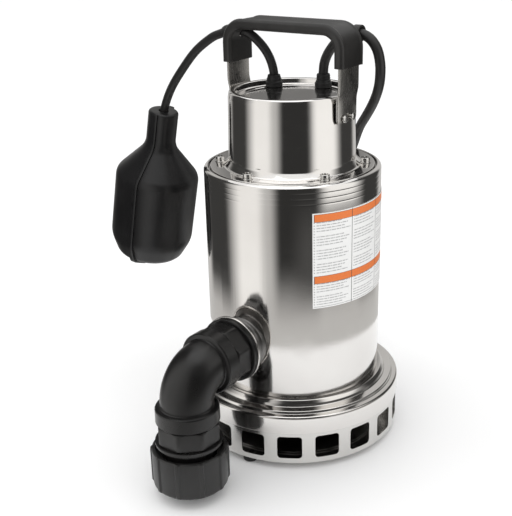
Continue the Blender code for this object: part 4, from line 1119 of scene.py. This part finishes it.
# ---------------------------------------------------------------- glands, boot and bushing
def add_glands():
    top = DISH_FLOOR + 0.0003
    for node, name, bore, ridges in (
        ("float_cable_gland", "cable_gland", 0.0043, 1), ("power_cord_boot", "cord_boot", 0.0046, 3),
    ):
        place = middle(node)
        high = heights(node)[1]
        corners = [
            (bore, 0.3220), (0.0060, 0.3220, 0.0006), (0.0060, top), (0.0080, top),
            (0.0080, top + 0.0042, 0.0008),
            (0.0071, top + 0.0052, 0.0008),
        ]
        step = (high - top - 0.0062) / (2 * ridges)
        for index in range(ridges):
            low = top + 0.0056 + 2 * step * index
            corners += [
                (0.0070 - 0.0003 * index, low + step * 0.6, 0.0004), (0.0062, low + step * 1.4, 0.0004),
            ]
        corners += [(0.0058, high, 0.0006), (bore, high, 0.0004)]
        turned(
            name, corners, RUBBER, "pump", 64, replaces=node, slot="soft_rubber",
            at=Vector((place.x, place.y, 0)),
        )
    first, last = Vector((-0.0672, 0, 0.3834)), Vector((-0.0756, 0, 0.3817))
    length = (last - first).length
    corners = [
        (0.0044, 0), (0.0066, 0, 0.0004), (0.0065, length * 0.3, 0.0003), (0.0060, length * 0.36, 0.0003),
        (0.0064, length * 0.44, 0.0003), (0.0063, length * 0.66, 0.0004), (0.0054, length, 0.0006),
        (0.0044, length, 0.0004),
    ]
    turned(
        "bushing", corners, RUBBER, "pump", 64, replaces="float_cable_bushing", slot="soft_rubber",
        at=PUMP_AXIS + first, turn=(last - first).to_track_quat("Z", "Y").to_matrix().to_4x4(),
    )


# ---------------------------------------------------------------- float switch
FLOAT_RADIUS = 0.0445
FLOAT_LENGTH = 0.1720
FLOAT_NECK = 0.0153
FLOAT_WALL = 0.0025
SEAM_RIDGE = 0.0022
SEAM_HALF = 0.0026


def float_profile(grow):
    """Outline of the float's outside below its neck's top, moved outwards by grow; radius, height, fillet."""
    return [
        (FLOAT_NECK + grow, grow * 0.5, 0.0028), (FLOAT_NECK + grow, -0.0370, 0.0200),
        (FLOAT_RADIUS - 0.0012 + grow, -0.0680, 0.0140), (FLOAT_RADIUS - 0.0012 + grow, -0.1400, 0.0300),
        (FLOAT_RADIUS - 0.0100 + grow, -0.1600 - grow * 0.6, 0.0120),
        (0.0120, 0.0012 - FLOAT_LENGTH - grow, 0.0300),
    ]


def add_float():
    tilt = Vector((0, 0, 1)).rotation_difference(FLOAT_AXIS).to_matrix().to_4x4()
    halves = (("float_shell_outer", FLOAT_SEAM_ANGLE + 180), ("float_shell_inner", FLOAT_SEAM_ANGLE))
    for node, start in halves:
        bm = bmesh.new()
        wall = [(0.0050, 0.0, 0.0008)] + float_profile(0.0) + [(0, -FLOAT_LENGTH)]
        inside = [(0, FLOAT_WALL - FLOAT_LENGTH)] + float_profile(-FLOAT_WALL)[:0:-1] + [
            (FLOAT_NECK - FLOAT_WALL, -0.0090), (0.0050, -0.0090),
        ]
        lathe(bm, filleted(wall + inside, 8), 72, start + 0.2, 179.6)
        piece(f"{node}_moulding", bm, FLOAT_PLASTIC, "float", replaces=node, slot="moulded_plastic",
              at=FLOAT_NECK_TOP, turn=tilt)
        bm = bmesh.new()
        ridge = filleted([(0.0, 0.0)] + float_profile(SEAM_RIDGE) + [(0.0, -FLOAT_LENGTH - SEAM_RIDGE)], 8)
        core = filleted([(0.0, -0.0040)] + float_profile(-FLOAT_WALL) + [(0.0, FLOAT_WALL - FLOAT_LENGTH)], 8)
        side = -1 if node == "float_shell_outer" else 1
        turn = tilt @ Matrix.Rotation(math.radians(FLOAT_SEAM_ANGLE), 4, "Z")
        for mirror in (-1, 1):
            add_seam_strip(bm, ridge, core, side, mirror)
        piece(
            f"{node}_flange", bm, FLOAT_PLASTIC, "float", slot="moulded_plastic", at=FLOAT_NECK_TOP,
            turn=turn,
        )


def add_seam_strip(bm, ridge, core, side, mirror):
    """One half of the welded flange that stands a little proud along the float's seam."""
    skip = 5
    near, far = 0.00012 * side, SEAM_HALF * side
    depths = ((near, 0.0), (far * 0.8, 0.0), (far, -0.0003))
    rows = []
    for depth, sink in depths:
        row = []
        for place in ridge[skip:]:
            row.append(bm.verts.new((mirror * max(0.0, place.x + sink), depth, place.y)))
        rows.append(row)
    for depth in (far, near):
        row = []
        for index in range(len(ridge) - skip):
            place = core[index + skip]
            row.append(bm.verts.new((mirror * max(0.0, place.x + FLOAT_WALL * 0.6), depth, place.y)))
        rows.append(row)
    count = len(rows[0])
    for first, second in zip(rows, rows[1:] + rows[:1]):
        for index in range(count - 1):
            bm.faces.new((first[index], first[index + 1], second[index + 1], second[index]))
    bm.faces.new([row[0] for row in rows])
    bm.faces.new([row[-1] for row in rows])


# ---------------------------------------------------------------- label
LABEL_COLUMNS = 192
LABEL_DIVIDERS = (66, 128)


def add_label():
    """A printed film wrapped on the shell: columns of faces by angle and rows by height, inked one by one."""
    start, end = LABEL_ANGLES
    low = LABEL_HEIGHTS[0]
    inner, outer = SHELL_RADIUS + 0.00025, SHELL_RADIUS + 0.00060
    angles = [start + (end - start) * step / LABEL_COLUMNS for step in range(LABEL_COLUMNS + 1)]
    rows = label_rows()
    levels = [low] + [row[0] for row in rows]
    bm = bmesh.new()
    front = [[bm.verts.new((*polar(outer, angle), level)) for angle in angles] for level in levels]
    back = [
        [bm.verts.new((*polar(inner, angle), level)) for angle in angles] for level in (levels[0], levels[-1])
    ]
    for (_, kind), lower, upper in zip(rows, front, front[1:]):
        for column in range(LABEL_COLUMNS):
            face = bm.faces.new((lower[column], lower[column + 1], upper[column + 1], upper[column]))
            face.material_index = label_ink(kind, column)
    for column in range(LABEL_COLUMNS):
        bm.faces.new((back[0][column], back[0][column + 1], back[1][column + 1], back[1][column]))
        bm.faces.new((back[0][column], back[0][column + 1], front[0][column + 1], front[0][column]))
        bm.faces.new((back[1][column], back[1][column + 1], front[-1][column + 1], front[-1][column]))
    for column in (0, LABEL_COLUMNS):
        bm.faces.new([back[0][column]] + [row[column] for row in front] + [back[1][column]])
    inks = (PAPER, ORANGE_INK, BLACK_INK, GREY_INK)
    piece("label", bm, inks, "pump", replaces="data_label", slot="label_film")


def label_rows():
    """(upper edge, what is printed) from the label's lower edge up: blank, rule, bar, or a line's number."""
    low, high = LABEL_HEIGHTS
    rows = [(low + 0.0012, "blank"), (low + 0.0015, "rule")]
    for bottom, bar, lines in ((low + 0.0020, 0.1784, 9), (0.1868, 0.2357, 19)):
        pitch = (bar - bottom) / lines
        for line in range(lines):
            rows += [
                (bottom + pitch * (line + 0.55), "blank"), (bottom + pitch * (line + 0.92), line + lines),
            ]
        rows += [(bar - 0.0003, "blank"), (bar, "rule"), (bar + 0.0066, "bar"), (bar + 0.0069, "rule")]
    return rows + [(high, "blank")]


def label_ink(kind, column):
    """Which ink a small face takes: 0 paper, 1 orange, 2 black, 3 grey."""
    edge = 2
    if kind == "blank" and edge <= column < LABEL_COLUMNS - edge:
        return 2 if column in LABEL_DIVIDERS else 0
    if column < edge or column >= LABEL_COLUMNS - edge:
        return 0
    if column in LABEL_DIVIDERS or column in (edge, LABEL_COLUMNS - edge - 1):
        return 2
    if kind in ("bar", "rule"):
        return 1 if kind == "bar" else 2
    cell = sum(column > divider for divider in LABEL_DIVIDERS)
    begins = (edge, *LABEL_DIVIDERS)[cell] + 4
    ends = (*LABEL_DIVIDERS, LABEL_COLUMNS - edge)[cell] - 3 - (kind * 11 + cell * 5) % 17
    if kind % 5 == 3 or not begins <= column < ends:
        return 0
    return 0 if (column * 3 + kind * 7) % 17 in (2, 9, 10) else 3


# ---------------------------------------------------------------- plug and tie
def add_plug():
    out, along, _ = plug_frame()
    heading = math.degrees(math.atan2(along.y, along.x))
    tail = COIL_CENTRE + out * PLUG_TAIL[0] + along * PLUG_TAIL[1]
    middle_z = PLUG_AXIS_Z
    width, height = 0.028, 0.024
    sections = [
        (0.0, 0.0104, 0.0104, 0.0051), (0.0040, 0.0112, 0.0112, 0.0055), (0.0046, 0.0100, 0.0100, 0.0049),
        (0.0060, 0.0100, 0.0100, 0.0049), (0.0066, 0.0120, 0.0120, 0.0059), (0.0090, 0.0124, 0.0124, 0.0061),
        (0.0096, 0.0108, 0.0108, 0.0053), (0.0110, 0.0108, 0.0108, 0.0053), (0.0116, 0.0132, 0.0132, 0.0064),
        (0.0148, 0.0146, 0.0146, 0.0070), (0.0172, 0.0200, 0.0190, 0.0076), (0.0200, 0.0250, 0.0225, 0.0080),
        (0.0280, width - 0.0006, height - 0.0006, 0.0080), (0.0340, width, height, 0.0080),
        (0.0470, width, height, 0.0080), (0.0488, width - 0.0010, height - 0.0010, 0.0075),
        (0.0499, width - 0.0034, height - 0.0034, 0.0065),
    ]
    bm = bmesh.new()
    rings = []
    for x, wide, high, corner in sections:
        rings.append([(x, y, z) for y, z in rounded_rectangle(wide, high, corner, 7)])
    lofted(bm, rings)
    place = {"at": Vector((tail.x, tail.y, middle_z)), "turn": Matrix.Rotation(math.radians(heading), 4, "Z")}
    body = piece("plug_body", bm, RUBBER, "pump", replaces="power_plug", slot="soft_rubber", **place)
    bm = bmesh.new()
    for side in (-1, 1):
        blade = rounded_rectangle(0.0015, 0.0063, 0.0005, 3)
        rings = []
        for x, share in ((0.0480, 1.0), (0.0665, 1.0), (0.0675, 0.75)):
            rings.append([(x, side * 0.00635 + y * share, 0.00215 + z * share) for y, z in blade])
        lofted(bm, rings)
    rings = []
    for x, radius in ((0.0480, 0.0024), (0.0670, 0.0024), (0.0686, 0.0020), (0.0695, 0.0010)):
        rings.append([(x, y, z - 0.0065) for y, z in circle(radius, 32)])
    lofted(bm, rings)
    blades = piece("plug_blades", bm, BRASS, "pump", slot="machined_steel", **place)
    return [body, blades]


def add_tie():
    inner, outer = 0.0370, 0.0662
    top = heights("coil_tie")[1]
    sheet = 0.0012
    corners = [
        (inner - 0.0005, 0.0004), (inner - 0.0005, top - sheet, 0.0022), (outer, top - sheet, 0.0022),
        (outer, 0.0004),
        (outer + sheet - 0.0002, 0.0004), (outer + sheet - 0.0002, top, 0.0034),
        (inner - 0.0005 - sheet, top, 0.0034),
        (inner - 0.0005 - sheet, 0.0004),
    ]
    bm = bmesh.new()
    outline = filleted(corners, 6)
    rings = []
    for y, shrink in ((-0.0050, 0.0002), (-0.0047, 0.0), (0.0047, 0.0), (0.0050, 0.0002)):
        rings.append([(place.x, y, place.y - shrink) for place in outline])
    lofted(bm, rings)
    turn = Matrix.Rotation(math.radians(-15.0), 4, "Z")
    return piece(
        "tie", bm, RUBBER, "pump", replaces="coil_tie", slot="soft_rubber",
        at=Vector((COIL_CENTRE.x, COIL_CENTRE.y, 0)), turn=turn,
    )


# ---------------------------------------------------------------- kept CAD pieces
KEPT = {
    "suction_plate": SHADE_DARKENED_STEEL, "pump_housing": NUT_PLASTIC, "impeller": NUT_PLASTIC,
    "thermal_switch": NUT_PLASTIC,
    "switch_capsule": NUT_PLASTIC, "micro_switch": FLOAT_PLASTIC, "outlet_tail": ELBOW_PLASTIC,
    "motor_can": BRUSHED, "lower_bearing": SCREW_STEEL, "upper_bearing": SCREW_STEEL,
    "rotor_shaft": SCREW_STEEL,
    "impeller_nut": SCREW_STEEL, "switch_ball": SCREW_STEEL, "port_gasket": RUBBER, "cover_gasket": RUBBER,
    "outlet_seal": RUBBER, "neck_grommet": RUBBER, "stator_core": LAMINATED, "rotor_core": LAMINATED,
    "lower_bearing_bracket": LAMINATED, "upper_bearing_bracket": LAMINATED, "winding_lower": COPPER,
    "winding_upper": COPPER, "run_capacitor": CAN_PAINT, "seal_seat": CERAMIC, "seal_head": CERAMIC,
}


def finish_kept():
    for node, finish in KEPT.items():
        mesh = frame["nodes"][node].data
        mesh.materials.clear()
        mesh.materials.append(finish)


add_camera()
add_studio()
add_strainer()
add_feet()
add_base()
add_shell()
add_cover()
add_cover_screws()
add_port()
add_elbow()
add_nut()
add_strap()
add_grip()
add_rivets()
add_glands()
add_float()
add_label()
add_float_cable()
add_power_cord(add_plug() + [add_tie()])
finish_kept()
